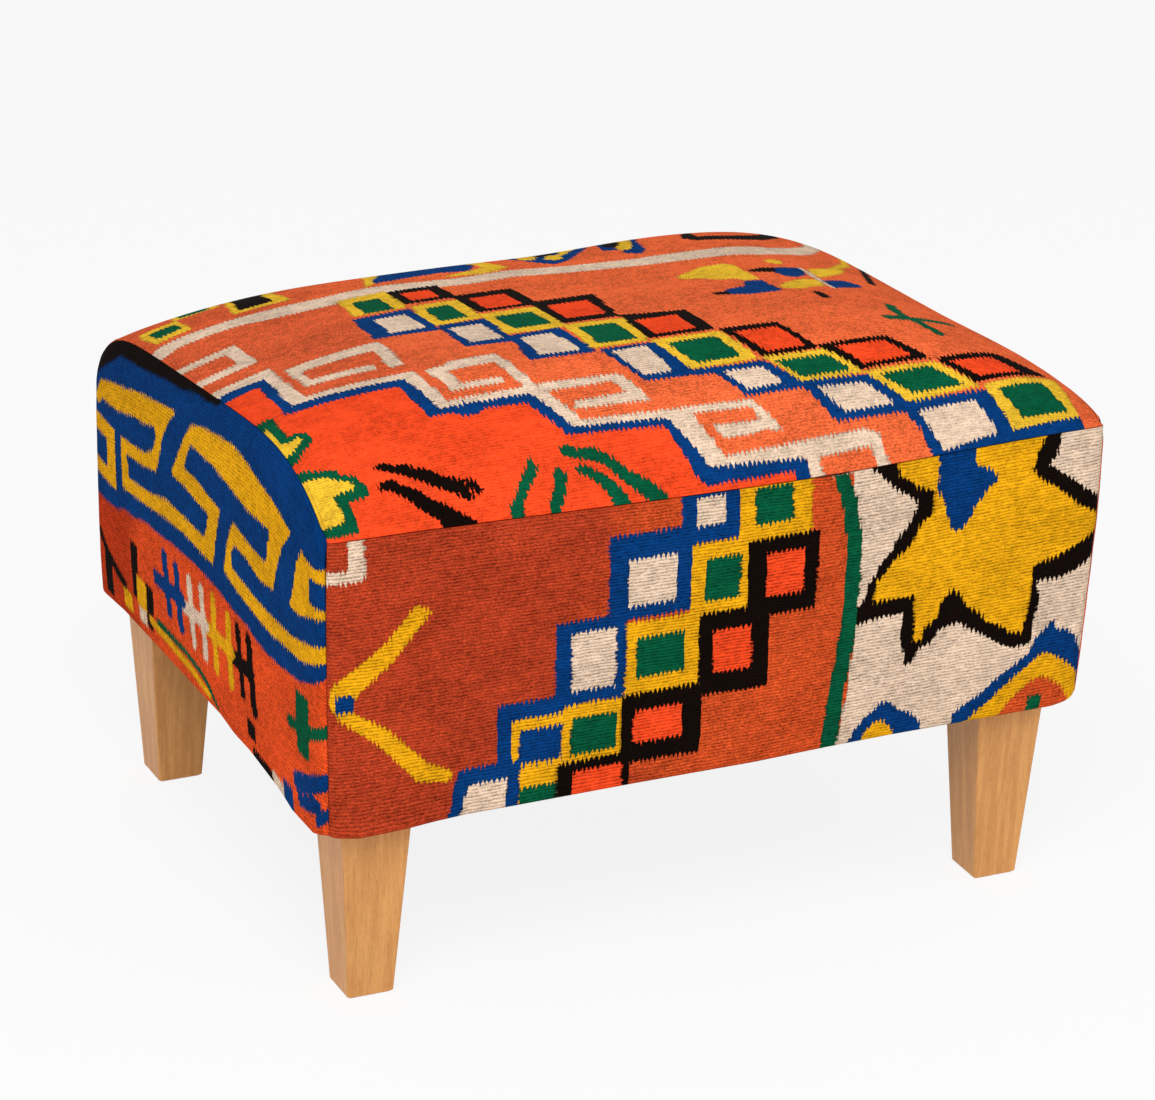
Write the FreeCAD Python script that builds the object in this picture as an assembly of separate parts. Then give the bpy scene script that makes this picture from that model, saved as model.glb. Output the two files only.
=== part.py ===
import FreeCAD, Part
import math
import os

# A low stool covered in flat-woven kilim, on four short tapered wooden legs.
# Millimetres. X runs along the long side, the front faces -Y and Z is up.
# The origin lies on the floor, under the middle of the seat.

# The whole stool
seat_length = 620.0
seat_depth = 480.0
leg_height = 148.0
# Height of the seam along the front of the top panel
seam_height = 372.5

# The padded top: heights over a level top at the front seam
back_drop = 51.0
end_arch_rise = 37.0
end_arch_lean = 17.0
crown_rise = 46.0
crown_lean = 18.0
shoulder_width = 90.0
front_seam_sag = 6.0
sag_centre_share = 0.2
front_fullness_share = 4.55
back_fullness_share = 7.25
swell_share = 5.2
station_shares = [-0.93, -0.8, -0.5, 0.0, 0.5, 0.8, 0.93]
# How far each end leans in, from the arch's height down to the base
base_draw = 5.4

# The cover
cover_thickness = 2.6
seam_gap = 0.3
flange_width = 30.0
layer_gap = 0.3

# Padding
wadding_thickness = 8.0

# The frame
rail_thickness = 22.0
rail_height = 138.0
centre_rail_height = 70.0
centre_rail_drop = 32.0
block_width = 62.0
block_height = 40.0
dowel_diameter = 8.0
dowel_length = 40.0
dowel_in_face = 14.0
dowel_edge_distance = 30.0
dowel_clearance = 0.1
dowel_end_gap = 1.0

# Wood screws that hold the corner blocks
screw_diameter = 5.0
screw_length = 78.0
screw_head_diameter = 9.6
screw_head_height = 3.0
screw_clearance = 0.1
screw_level_lower = 12.0
screw_level_upper = 28.0
screw_offset = 44.0

# Legs
leg_top_width = 55.0
leg_foot_width = 35.8
leg_inset_end = 24.2
leg_inset_front = 16.8
leg_edge_radius = 1.6
leg_foot_chamfer = 1.8

# Leg bolts and their nuts
bolt_diameter = 8.0
bolt_in_leg = 38.0
bolt_over_block = 4.0
bolt_point = 6.0
bolt_clearance = 0.15
nut_barrel_diameter = 10.4
nut_barrel_length = 11.0
nut_flange_diameter = 19.0
nut_flange_thickness = 1.5
nut_prong_width = 2.2
nut_prong_length = 6.0
nut_prong_radius = 7.4
nut_prong_thickness = 1.2
nut_clearance = 0.1

# Webbing and cloth
webbing_width = 50.0
webbing_thickness = 1.6
webbing_end_margin = 6.0
lengthwise_count = 4
crosswise_count = 5
weave_clearance = 0.15
weave_slope_share = 0.55
hessian_thickness = 0.8
hessian_margin = 3.0
dust_cover_thickness = 0.8
dust_cover_margin = 9.0
bolt_hole_in_cloth = 9.0

# Staples
staple_width = 10.0
staple_wire = 0.9
staple_leg = 10.0
long_staple_leg = 12.0
cover_staple_pitch = 46.0
dust_staple_pitch = 58.0
hessian_staple_pitch = 52.0
webbing_staple_pitch = 16.0
webbing_staple_inset = 9.0
staple_corner_margin = 62.0

# Places that follow from the sizes above
half_length = seat_length / 2
half_depth = seat_depth / 2
dust_base = leg_height
cover_base = dust_base + dust_cover_thickness
rail_base = cover_base + cover_thickness
rail_top = rail_base + rail_height
widest_height = seam_height + end_arch_rise
core_inset = cover_thickness + layer_gap + wadding_thickness + layer_gap
base_half_length = half_length - base_draw
rail_half_depth = half_depth - core_inset
rail_half_length = base_half_length - core_inset
leg_x = half_length - leg_inset_end - leg_top_width / 2
leg_y = half_depth - leg_inset_front - leg_top_width / 2
weave_step = webbing_thickness + weave_clearance
hessian_base = rail_top + weave_step + webbing_thickness + weave_clearance
foam_base = hessian_base + hessian_thickness
SIDES = (-1, 1)
LEG_NAMES = {(-1, -1): "front_left", (1, -1): "front_right", (-1, 1): "back_left", (1, 1): "back_right"}

parts = {}


def vec(x, y, z):
    return FreeCAD.Vector(x, y, z)


def box(x0, x1, y0, y1, z0, z1):
    return Part.makeBox(x1 - x0, y1 - y0, z1 - z0, vec(x0, y0, z0))


def rod(diameter, start, end):
    run = end - start
    return Part.makeCylinder(diameter / 2, run.Length, start, run)


def group(solids):
    return Part.makeCompound(solids)


# The outline of the padded body, cut across its length

def crown_height(x, y):
    """Height of the top over the floor at a place on the seat."""
    along = x / half_length
    across = y / half_depth
    fullness = 1 - abs(across) ** (front_fullness_share if y < 0 else back_fullness_share)
    swell = 1 - abs(along) ** swell_share
    rise = end_arch_rise - end_arch_lean * along + (crown_rise + crown_lean * along) * swell
    return seam_height + rise * fullness - back_drop * (across + 1) / 2


def front_seam_height(x):
    along = x / half_length - sag_centre_share
    reach = 1 + sag_centre_share if along < 0 else 1 - sag_centre_share
    return seam_height - front_seam_sag * math.cos(math.pi / 2 * along / reach) ** 2


class TangentArc:
    """An arc in the Y, Z plane through two points, leaving the first along a direction."""

    def __init__(self, start, end, direction):
        chord = (end[0] - start[0], end[1] - start[1])
        normal = (direction[1], -direction[0])
        reach = chord[0] ** 2 + chord[1] ** 2
        signed = reach / (2 * (chord[0] * normal[0] + chord[1] * normal[1]))
        self.centre = (start[0] + signed * normal[0], start[1] + signed * normal[1])
        self.radius = abs(signed)


def circle_through(first, second, third):
    """Centre and radius of the circle through three points of the Y, Z plane."""
    a = first[0] - third[0]
    b = first[1] - third[1]
    c = second[0] - third[0]
    d = second[1] - third[1]
    e = (a * (first[0] + third[0]) + b * (first[1] + third[1])) / 2
    f = (c * (second[0] + third[0]) + d * (second[1] + third[1])) / 2
    g = a * d - b * c
    centre = ((d * e - b * f) / g, (a * f - c * e) / g)
    return centre, math.hypot(first[0] - centre[0], first[1] - centre[1])


def drawn_toward(point, centre, radius, inset):
    """The point moved towards an arc's centre by the inset."""
    share = (radius - inset) / radius
    return (centre[0] + (point[0] - centre[0]) * share, centre[1] + (point[1] - centre[1]) * share)


def on_wall(y, centre, radius):
    return (y, centre[1] + math.sqrt(radius ** 2 - (y - centre[0]) ** 2))


def between(start, end, centre, radius):
    """The middle of the short arc between two points of a circle."""
    y = (start[0] + end[0]) / 2 - centre[0]
    z = (start[1] + end[1]) / 2 - centre[1]
    size = math.hypot(y, z)
    return (centre[0] + y / size * radius, centre[1] + z / size * radius)


def body_outline(x, inset):
    """Key points of the top's outline at one place along the seat, inside the cover by the inset."""
    shoulder_y = half_depth - shoulder_width
    front = (-half_depth, front_seam_height(x))
    rise_end = (-shoulder_y, crown_height(x, -shoulder_y))
    middle = (0, crown_height(x, 0))
    fall_start = (shoulder_y, crown_height(x, shoulder_y))
    back = (half_depth, crown_height(x, half_depth))
    crown_centre, crown_radius = circle_through(rise_end, middle, fall_start)
    rise_way = ((crown_centre[1] - rise_end[1]) / crown_radius, (rise_end[0] - crown_centre[0]) / crown_radius)
    fall_way = ((crown_centre[1] - fall_start[1]) / crown_radius, (fall_start[0] - crown_centre[0]) / crown_radius)
    rising = TangentArc(rise_end, front, rise_way)
    falling = TangentArc(fall_start, back, fall_way)
    wall = half_depth - inset
    line = {}
    line["front_foot"] = -wall
    line["front"] = on_wall(-wall, rising.centre, rising.radius - inset)
    line["rise_end"] = drawn_toward(rise_end, crown_centre, crown_radius, inset)
    line["middle"] = drawn_toward(middle, crown_centre, crown_radius, inset)
    line["fall_start"] = drawn_toward(fall_start, crown_centre, crown_radius, inset)
    line["back"] = on_wall(wall, falling.centre, falling.radius - inset)
    line["back_foot"] = wall
    line["rising"] = between(line["front"], line["rise_end"], rising.centre, rising.radius - inset)
    line["falling"] = between(line["fall_start"], line["back"], falling.centre, falling.radius - inset)
    return line


def lean(x, y, z):
    """A place on the leaning plane that cuts the body at x, at the height of its widest part."""
    share = 1 - base_draw / half_length * (widest_height - z) / (widest_height - cover_base)
    return vec(x * share, y, z)


def line_between(x, start, end):
    return Part.LineSegment(lean(x, *start), lean(x, *end)).toShape()


def arc_between(x, start, middle, end):
    return Part.Arc(lean(x, *start), lean(x, *middle), lean(x, *end)).toShape()


def top_edges(x, line):
    """The three arcs of the top, from the front seam to the back one."""
    rise = arc_between(x, line["front"], line["rising"], line["rise_end"])
    crown = arc_between(x, line["rise_end"], line["middle"], line["fall_start"])
    fall = arc_between(x, line["fall_start"], line["falling"], line["back"])
    return [rise, crown, fall]


def solid_outline(x, inset, foot):
    line = body_outline(x, inset)
    front_foot = (line["front_foot"], foot)
    back_foot = (line["back_foot"], foot)
    edges = top_edges(x, line)
    edges.append(line_between(x, line["back"], back_foot))
    edges.append(line_between(x, back_foot, front_foot))
    edges.append(line_between(x, front_foot, line["front"]))
    return Part.Wire(edges)


def stations(inset):
    """Places along the seat where the outline is drawn, ends included."""
    end = half_length - inset
    inner = [share * half_length for share in station_shares]
    return [-end] + inner + [end]


def padded_solid(inset, foot):
    return Part.makeLoft([solid_outline(x, inset, foot) for x in stations(inset)], True, False)


# The kilim cover: five panels, sewn along the edges and turned under the frame

panel_inset = cover_thickness + seam_gap


def top_panel_outline(x):
    outer = body_outline(x, 0)
    inner = body_outline(x, cover_thickness)
    edges = top_edges(x, outer)
    edges.append(line_between(x, outer["back"], inner["back"]))
    edges.extend(top_edges(x, inner))
    edges.append(line_between(x, inner["front"], outer["front"]))
    return Part.Wire(Part.__sortEdges__(edges))


def wall_panel_outline(x, side, seam):
    """A front or back panel's outline with its turned-under flange."""
    outer = body_outline(x, 0)[seam]
    inner = body_outline(x, cover_thickness)[seam]
    flange_end = side * (half_depth - flange_width)
    points = [
        (outer[0], cover_base),
        (outer[0], outer[1] - seam_gap),
        (inner[0], inner[1] - seam_gap),
        (inner[0], rail_base),
        (flange_end, rail_base),
        (flange_end, cover_base),
    ]
    edges = [line_between(x, points[i - 1], points[i]) for i in range(len(points))]
    return Part.Wire(edges)


def end_panel(side):
    faces = [side * half_length, side * (half_length - cover_thickness)]
    slab = Part.makeLoft([solid_outline(x, 0, cover_base) for x in faces], True, True)
    outer = base_half_length - cover_thickness / 2
    inner = half_length - flange_width
    reach = half_depth - flange_width - seam_gap
    flange = box(min(side * outer, side * inner), max(side * outer, side * inner), -reach, reach, cover_base, rail_base)
    return slab.fuse(flange).removeSplitter()


panel_stations = stations(panel_inset)
parts["cover_top"] = Part.makeLoft([top_panel_outline(x) for x in panel_stations], True, False)
parts["cover_front"] = Part.makeLoft([wall_panel_outline(x, -1, "front") for x in panel_stations], True, False)
parts["cover_back"] = Part.makeLoft([wall_panel_outline(x, 1, "back") for x in panel_stations], True, False)
parts["cover_left"] = end_panel(-1)
parts["cover_right"] = end_panel(1)

# Padding

wadding_outer = padded_solid(panel_inset, rail_base + layer_gap)
wadding_inner = padded_solid(panel_inset + wadding_thickness, rail_base)
parts["wadding"] = wadding_outer.cut(wadding_inner)
parts["foam_pad"] = padded_solid(core_inset, foam_base)

# The frame: two long rails, two end rails between them and one rail across the middle

end_rail_reach = rail_half_depth - rail_thickness


def long_rail(side):
    outer = side * rail_half_depth
    inner = side * end_rail_reach
    return box(-rail_half_length, rail_half_length, min(outer, inner), max(outer, inner), rail_base, rail_top)


def end_rail(side):
    outer = side * rail_half_length
    inner = side * (rail_half_length - rail_thickness)
    return box(min(outer, inner), max(outer, inner), -end_rail_reach, end_rail_reach, rail_base, rail_top)


parts["rail_front"] = long_rail(-1)
parts["rail_back"] = long_rail(1)
parts["rail_left"] = end_rail(-1)
parts["rail_right"] = end_rail(1)
centre_rail_top = rail_top - centre_rail_drop
centre_rail_base = centre_rail_top - centre_rail_height
parts["rail_centre"] = box(-rail_thickness / 2, rail_thickness / 2, -end_rail_reach, end_rail_reach,
                           centre_rail_base, centre_rail_top)

# Dowels between the rails, and the holes that they sit in

dowels = []
dowel_holes = []
dowel_x = rail_half_length - rail_thickness / 2
dowel_rows = [
    (-dowel_x, rail_base + dowel_edge_distance),
    (-dowel_x, rail_top - dowel_edge_distance),
    (dowel_x, rail_base + dowel_edge_distance),
    (dowel_x, rail_top - dowel_edge_distance),
    (0, centre_rail_base + centre_rail_height / 4),
    (0, centre_rail_top - centre_rail_height / 4),
]
for x, z in dowel_rows:
    for side in SIDES:
        face = side * end_rail_reach
        start = face + side * dowel_in_face
        end = start - side * dowel_length
        dowels.append(rod(dowel_diameter, vec(x, start, z), vec(x, end, z)))
        hole_start = vec(x, start + side * dowel_end_gap, z)
        hole_end = vec(x, end - side * dowel_end_gap, z)
        dowel_holes.append(rod(dowel_diameter + 2 * dowel_clearance, hole_start, hole_end))
parts["rail_dowels"] = group(dowels)

# Corner blocks, their screws, and the nut that each leg bolt turns into

screws = []
screw_holes = []
bolt_holes = []
block_x = rail_half_length - rail_thickness
block_y = end_rail_reach
block_top = rail_base + block_height


def screw(start, direction):
    """A countersunk wood screw with its head flush at the start."""
    head = Part.makeCone(screw_head_diameter / 2, screw_diameter / 2, screw_head_height, start, direction)
    shank_start = start + direction * screw_head_height
    shank_length = screw_length - screw_head_height - screw_diameter
    shank = Part.makeCylinder(screw_diameter / 2, shank_length, shank_start, direction)
    tip_start = shank_start + direction * shank_length
    tip = Part.makeCone(screw_diameter / 2, screw_clearance, screw_diameter, tip_start, direction)
    return head.fuse([shank, tip]).removeSplitter()


def screw_hole(start, direction):
    head = Part.makeCone(screw_head_diameter / 2 + screw_clearance, screw_diameter / 2 + screw_clearance,
                         screw_head_height, start, direction)
    shank = Part.makeCylinder(screw_diameter / 2 + screw_clearance, screw_length + screw_clearance, start, direction)
    return head.fuse(shank)


for (sx, sy), name in LEG_NAMES.items():
    outer_x = sx * block_x
    outer_y = sy * block_y
    inner_x = sx * (block_x - block_width)
    inner_y = sy * (block_y - block_width)
    block = box(min(outer_x, inner_x), max(outer_x, inner_x), min(outer_y, inner_y), max(outer_y, inner_y),
                rail_base, block_top)
    lower = rail_base + screw_level_lower
    upper = rail_base + screw_level_upper
    across = [vec(inner_x, sy * (block_y - screw_offset), lower), vec(sx, 0, 0)]
    along = [vec(sx * (block_x - screw_offset), inner_y, upper), vec(0, sy, 0)]
    own_holes = []
    for start, direction in (across, along):
        direction.normalize()
        screws.append(screw(start, direction))
        own_holes.append(screw_hole(start, direction))
    screw_holes.extend(own_holes)

    axis_foot = vec(sx * leg_x, sy * leg_y, leg_height - bolt_in_leg)
    axis_top = vec(sx * leg_x, sy * leg_y, block_top + bolt_over_block)
    bolt_hole = rod(bolt_diameter + 2 * bolt_clearance, axis_foot, axis_top)
    bolt_holes.append(bolt_hole)
    point_start = axis_foot + vec(0, 0, bolt_point)
    bolt = rod(bolt_diameter, point_start, axis_top)
    point = Part.makeCone(bolt_clearance, bolt_diameter / 2, bolt_point, axis_foot, vec(0, 0, 1))
    parts["leg_bolt_" + name] = bolt.fuse(point).removeSplitter()

    nut_top = vec(sx * leg_x, sy * leg_y, block_top)
    barrel = rod(nut_barrel_diameter, nut_top - vec(0, 0, nut_barrel_length), nut_top)
    flange = rod(nut_flange_diameter, nut_top, nut_top + vec(0, 0, nut_flange_thickness))
    prongs = []
    for turn in range(4):
        prong = box(nut_prong_radius, nut_prong_radius + nut_prong_thickness, -nut_prong_width / 2,
                    nut_prong_width / 2, -nut_prong_length, nut_flange_thickness / 2)
        prong.rotate(vec(0, 0, 0), vec(0, 0, 1), 45 + 90 * turn)
        prong.translate(nut_top)
        prongs.append(prong)
    nut = flange.fuse([barrel] + prongs).removeSplitter()
    barrel_hole = rod(nut_barrel_diameter + 2 * nut_clearance, nut_top - vec(0, 0, nut_barrel_length), nut_top)
    block = block.cut(group(own_holes + [bolt_hole, barrel_hole] + prongs))
    parts["leg_nut_" + name] = nut.cut(bolt_hole)
    parts["corner_block_" + name] = block
parts["corner_block_screws"] = group(screws)

# Legs: square, tapered on all four faces, with eased edges and a chamfered foot

def rounded_square(centre_x, centre_y, z, width):
    half = width / 2
    straight = half - leg_edge_radius
    bend = leg_edge_radius * math.cos(math.pi / 4)
    edges = []
    for turn in range(4):
        angle = math.pi / 2 * turn
        cosine = math.cos(angle)
        sine = math.sin(angle)
        places = [(half, -straight), (half, straight), (straight + bend, straight + bend), (straight, half)]
        points = [vec(centre_x + x * cosine - y * sine, centre_y + x * sine + y * cosine, z) for x, y in places]
        edges.append(Part.LineSegment(points[0], points[1]).toShape())
        edges.append(Part.Arc(points[1], points[2], points[3]).toShape())
    return Part.Wire(edges)


for ((sx, sy), name), bolt_hole in zip(LEG_NAMES.items(), bolt_holes):
    taper = (leg_top_width - leg_foot_width) / leg_height
    sole_width = leg_foot_width - 2 * leg_foot_chamfer
    chamfer_width = leg_foot_width + taper * leg_foot_chamfer
    sections = [(0, sole_width), (leg_foot_chamfer, chamfer_width), (leg_height, leg_top_width)]
    wires = [rounded_square(sx * leg_x, sy * leg_y, z, width) for z, width in sections]
    leg = Part.makeLoft(wires, True, True)
    parts["leg_" + name] = leg.cut(bolt_hole)

# Webbing: straps along the seat lie flat, and straps across it pass over and under them

lengthwise_pitch = 2 * end_rail_reach / lengthwise_count
crosswise_pitch = 2 * (rail_half_length - rail_thickness) / crosswise_count
lengthwise_places = [(i - (lengthwise_count - 1) / 2) * lengthwise_pitch for i in range(lengthwise_count)]
crosswise_places = [(i - (crosswise_count - 1) / 2) * crosswise_pitch for i in range(crosswise_count)]
weave_slope_run = (lengthwise_pitch - webbing_width) / 2 * weave_slope_share
strap_reach_x = rail_half_length - webbing_end_margin
strap_reach_y = rail_half_depth - webbing_end_margin
webbing_staples = []


def staple(x, y, z, along_x, up, leg_length):
    """A wire staple whose outer face lies at z, with its legs going up or down."""
    half = staple_width / 2
    wire = staple_wire
    if up:
        bar = (z, z + wire)
        leg = (z, z + leg_length)
    else:
        bar = (z - wire, z)
        leg = (z - leg_length, z)
    pieces = [box(-half, half, -wire / 2, wire / 2, *bar)]
    pieces.append(box(-half, -half + wire, -wire / 2, wire / 2, *leg))
    pieces.append(box(half - wire, half, -wire / 2, wire / 2, *leg))
    shape = pieces[0].fuse(pieces[1:]).removeSplitter()
    if not along_x:
        shape.rotate(vec(0, 0, 0), vec(0, 0, 1), 90)
    shape.translate(vec(x, y, 0))
    return shape


def places_along(reach, pitch):
    count = max(2, int(2 * reach / pitch) + 1)
    return [-reach + 2 * reach * i / (count - 1) for i in range(count)]


def staple_ring(reach_x, reach_y, line_x, line_y, pitch, z, up, leg_length):
    ring = []
    for side in SIDES:
        for x in places_along(reach_x, pitch):
            ring.append(staple(x, side * line_y, z, True, up, leg_length))
        for y in places_along(reach_y, pitch):
            ring.append(staple(side * line_x, y, z, False, up, leg_length))
    return ring


def strap_across(number, x):
    """One crosswise strap, drawn as its edge seen from the side and pushed out to its width."""
    points = [(-strap_reach_y, 0)]
    for place, y in enumerate(lengthwise_places):
        level = weave_step if (number + place) % 2 else -weave_step
        near = y - webbing_width / 2
        far = y + webbing_width / 2
        points.extend([(near - weave_slope_run, 0), (near - weave_clearance, level)])
        points.extend([(far + weave_clearance, level), (far + weave_slope_run, 0)])
    points.append((strap_reach_y, 0))
    left = x - webbing_width / 2
    lower = [vec(left, y, rail_top + level) for y, level in points]
    upper = [vec(left, y, rail_top + level + webbing_thickness) for y, level in reversed(points)]
    face = Part.Face(Part.makePolygon(lower + upper + lower[:1]))
    return face.extrude(vec(webbing_width, 0, 0))


staple_top = rail_top + webbing_thickness
hessian_x = rail_half_length - hessian_margin
hessian_y = rail_half_depth - hessian_margin
hessian_line_x = rail_half_length - rail_thickness * 3 / 4
hessian_line_y = rail_half_depth - rail_thickness * 3 / 4
hessian_staples = staple_ring(hessian_x - staple_corner_margin, hessian_y - staple_corner_margin, hessian_line_x,
                              hessian_line_y, hessian_staple_pitch, foam_base, False, long_staple_leg)
for number, y in enumerate(lengthwise_places, start=1):
    strap = box(-strap_reach_x, strap_reach_x, y - webbing_width / 2, y + webbing_width / 2, rail_top,
                rail_top + webbing_thickness)
    own = []
    for side in SIDES:
        for step in (-1, 0, 1):
            x = side * (strap_reach_x - webbing_staple_inset)
            own.append(staple(x, y + step * webbing_staple_pitch, staple_top, False, False, staple_leg))
    webbing_staples.extend(own)
    parts["webbing_lengthwise_%d" % number] = strap.cut(group(own + hessian_staples))
for number, x in enumerate(crosswise_places, start=1):
    own = []
    for side in SIDES:
        for step in (-1, 0, 1):
            y = side * (strap_reach_y - webbing_staple_inset)
            own.append(staple(x + step * webbing_staple_pitch, y, staple_top, True, False, staple_leg))
    webbing_staples.extend(own)
    parts["webbing_crosswise_%d" % number] = strap_across(number, x).cut(group(own + hessian_staples))
parts["webbing_staples"] = group(webbing_staples)


# The hessian over the webbing, the cover's flange and the dust cover

hessian = box(-hessian_x, hessian_x, -hessian_y, hessian_y, hessian_base, foam_base)
parts["hessian"] = hessian.cut(group(hessian_staples))
parts["hessian_staples"] = group(hessian_staples)

leg_clear_x = leg_x - leg_top_width / 2 - staple_width
leg_clear_y = leg_y - leg_top_width / 2 - staple_width
cover_line_x = rail_half_length - rail_thickness / 3
cover_line_y = rail_half_depth - rail_thickness / 3
dust_line_x = rail_half_length - rail_thickness * 2 / 3
dust_line_y = rail_half_depth - rail_thickness * 2 / 3
cover_staples = staple_ring(leg_clear_x, leg_clear_y, cover_line_x, cover_line_y, cover_staple_pitch, cover_base,
                            True, staple_leg)
dust_staples = staple_ring(leg_clear_x, leg_clear_y, dust_line_x, dust_line_y, dust_staple_pitch, dust_base,
                           True, staple_leg)
parts["cover_staples"] = group(cover_staples)
parts["dust_cover_staples"] = group(dust_staples)

dust_x = base_half_length - dust_cover_margin
dust_y = half_depth - dust_cover_margin
cloth_holes = [rod(bolt_hole_in_cloth, vec(sx * leg_x, sy * leg_y, dust_base), vec(sx * leg_x, sy * leg_y, cover_base))
               for sx, sy in LEG_NAMES]
dust_cover = box(-dust_x, dust_x, -dust_y, dust_y, dust_base, cover_base)
parts["dust_cover"] = dust_cover.cut(group(cloth_holes + dust_staples))

# Fasteners driven into the wood and the cloth leave their own holes

flange_cuts = group(cover_staples + dust_staples)
for name in ("cover_front", "cover_back", "cover_left", "cover_right"):
    parts[name] = parts[name].cut(flange_cuts)
rail_cuts = group(cover_staples + dust_staples + hessian_staples + webbing_staples + dowel_holes + screw_holes)
for name in ("rail_front", "rail_back", "rail_left", "rail_right", "rail_centre"):
    parts[name] = parts[name].cut(rail_cuts)

os.makedirs("parts", exist_ok=True)
for name, shape in parts.items():
    shape.exportStep("parts/%s.step" % name)
    box_of = shape.BoundBox
    print("%-26s solids %3d valid %s volume %10.0f  z %.1f to %.1f" % (
        name, len(shape.Solids), shape.isValid(), shape.Volume, box_of.ZMin, box_of.ZMax))
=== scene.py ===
import math

import bmesh
import bpy
import numpy as np
from bpy.props import FloatProperty, FloatVectorProperty, PointerProperty
from mathutils import Matrix, Vector


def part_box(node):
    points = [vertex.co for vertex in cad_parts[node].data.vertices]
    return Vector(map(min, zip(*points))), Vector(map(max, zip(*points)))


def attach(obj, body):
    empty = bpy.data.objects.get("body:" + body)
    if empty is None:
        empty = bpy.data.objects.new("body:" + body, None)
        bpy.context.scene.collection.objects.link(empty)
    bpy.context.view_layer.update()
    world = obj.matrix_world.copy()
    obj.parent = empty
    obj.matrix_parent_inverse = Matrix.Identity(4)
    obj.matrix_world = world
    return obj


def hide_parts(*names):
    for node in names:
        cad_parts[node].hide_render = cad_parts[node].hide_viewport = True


bl_info = {
    "name": "Kilim Stool",
    "version": (1, 0, 0),
    "blender": (4, 5, 0),
    "location": "3D View > Sidebar > Kilim Stool",
    "description": "Dresses a low upholstered stool in flat-woven kilim, on oiled tapered legs",
    "category": "Object",
}

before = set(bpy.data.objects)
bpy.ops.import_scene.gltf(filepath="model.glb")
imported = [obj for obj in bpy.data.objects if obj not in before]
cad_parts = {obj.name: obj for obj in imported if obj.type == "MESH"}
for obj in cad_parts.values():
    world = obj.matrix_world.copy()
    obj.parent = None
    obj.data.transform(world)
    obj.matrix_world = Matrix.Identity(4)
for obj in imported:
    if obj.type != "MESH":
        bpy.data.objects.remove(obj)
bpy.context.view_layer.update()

MM = 0.001
FRONT, BACK, LEFT, RIGHT, TOP = "front", "back", "left", "right", "top"
DYES = ("vermilion", "cream", "black", "yellow", "green", "blue")
VERMILION, CREAM, BLACK, YELLOW, GREEN, BLUE = DYES
# What the outlines call the panel's own ground
BRICK = "brick"


def length_of(name, value, description):
    return FloatProperty(name=name, description=description, default=value, precision=4, subtype="DISTANCE",
                         unit="LENGTH")


def number_of(name, value, description):
    return FloatProperty(name=name, description=description, default=value)


def colour_of(name, value, description):
    return FloatVectorProperty(name=name, description=description, default=value, size=3, subtype="COLOR",
                               min=0.0, max=1.0)


class StoolSizes(bpy.types.PropertyGroup):
    """Sizes of the padded body, its cover and its padding."""
    seat_length: length_of("Seat Length", 0.62, "Length of the body at the top of its end arches")
    seat_depth: length_of("Seat Depth", 0.48, "Depth of the body from front to back")
    cover_base: length_of("Cover Base", 0.1488, "Height of the cover's lowest edge over the floor")
    seam_height: length_of("Seam Height", 0.3725, "Height of the seam along the front of the top panel")
    back_drop: length_of("Back Drop", 0.051, "How much lower the back seam lies")
    end_arch_rise: length_of("End Arch Rise", 0.0349, "Rise of the arch at both ends")
    end_arch_lean: length_of("End Arch Lean", 0.0201, "Rise added to the left arch, taken from the right")
    crown_rise: length_of("Crown Rise", 0.0478, "Rise of the crown over the end arches")
    crown_lean: length_of("Crown Lean", 0.0190, "How far the crown's rise leans to the right")
    corner_lift: length_of("Corner Lift", 0.0256, "How much higher the back right corner is")
    front_fullness: number_of("Front Fullness", 4.55, "How square the front shoulder is")
    corner_fullness: number_of("Corner Fullness", 2.0, "How much squarer it is at the right end")
    back_fullness: number_of("Back Fullness", 7.27, "How square the back shoulder is")
    swell: number_of("Swell", 4.43, "How square the crown is along the left half of the seat")
    swell_right: number_of("Right Swell", -0.94, "What is added to it towards the right end")
    seam_sag: length_of("Seam Sag", 0.006, "How far the front seam sags between its ends")
    base_draw: length_of("Base Draw", 0.0054, "How far each end leans in at the base")
    end_roll: length_of("End Roll", 0.0035, "How far the end seams lie in from the ends")
    end_bulge: length_of("End Bulge", 0.0085, "How far the right end bulges near the front")
    seam_roll: length_of("Seam Roll", 0.001, "Radius of the cloth's turn into a seam")
    seam_allowance: length_of("Seam Allowance", 0.008, "Width of cloth turned into a seam")
    front_corner: length_of("Front Corner", 0.012, "Radius of the front corners, seen from above")
    back_corner: length_of("Back Corner", 0.02, "Radius of the back corners, seen from above")
    flange_width: length_of("Flange Width", 0.026, "Width of cloth turned under the frame")
    cloth_thickness: length_of("Cloth Thickness", 0.0024, "Thickness of the kilim")
    cloth_step: length_of("Cloth Step", 0.003, "Distance between the points of the cloth's mesh")
    puff: length_of("Puff", 0.003, "Most that the padding pushes a panel out between its seams")
    wadding_thickness: length_of("Wadding Thickness", 0.008, "Thickness of the wadding over the foam")


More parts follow.
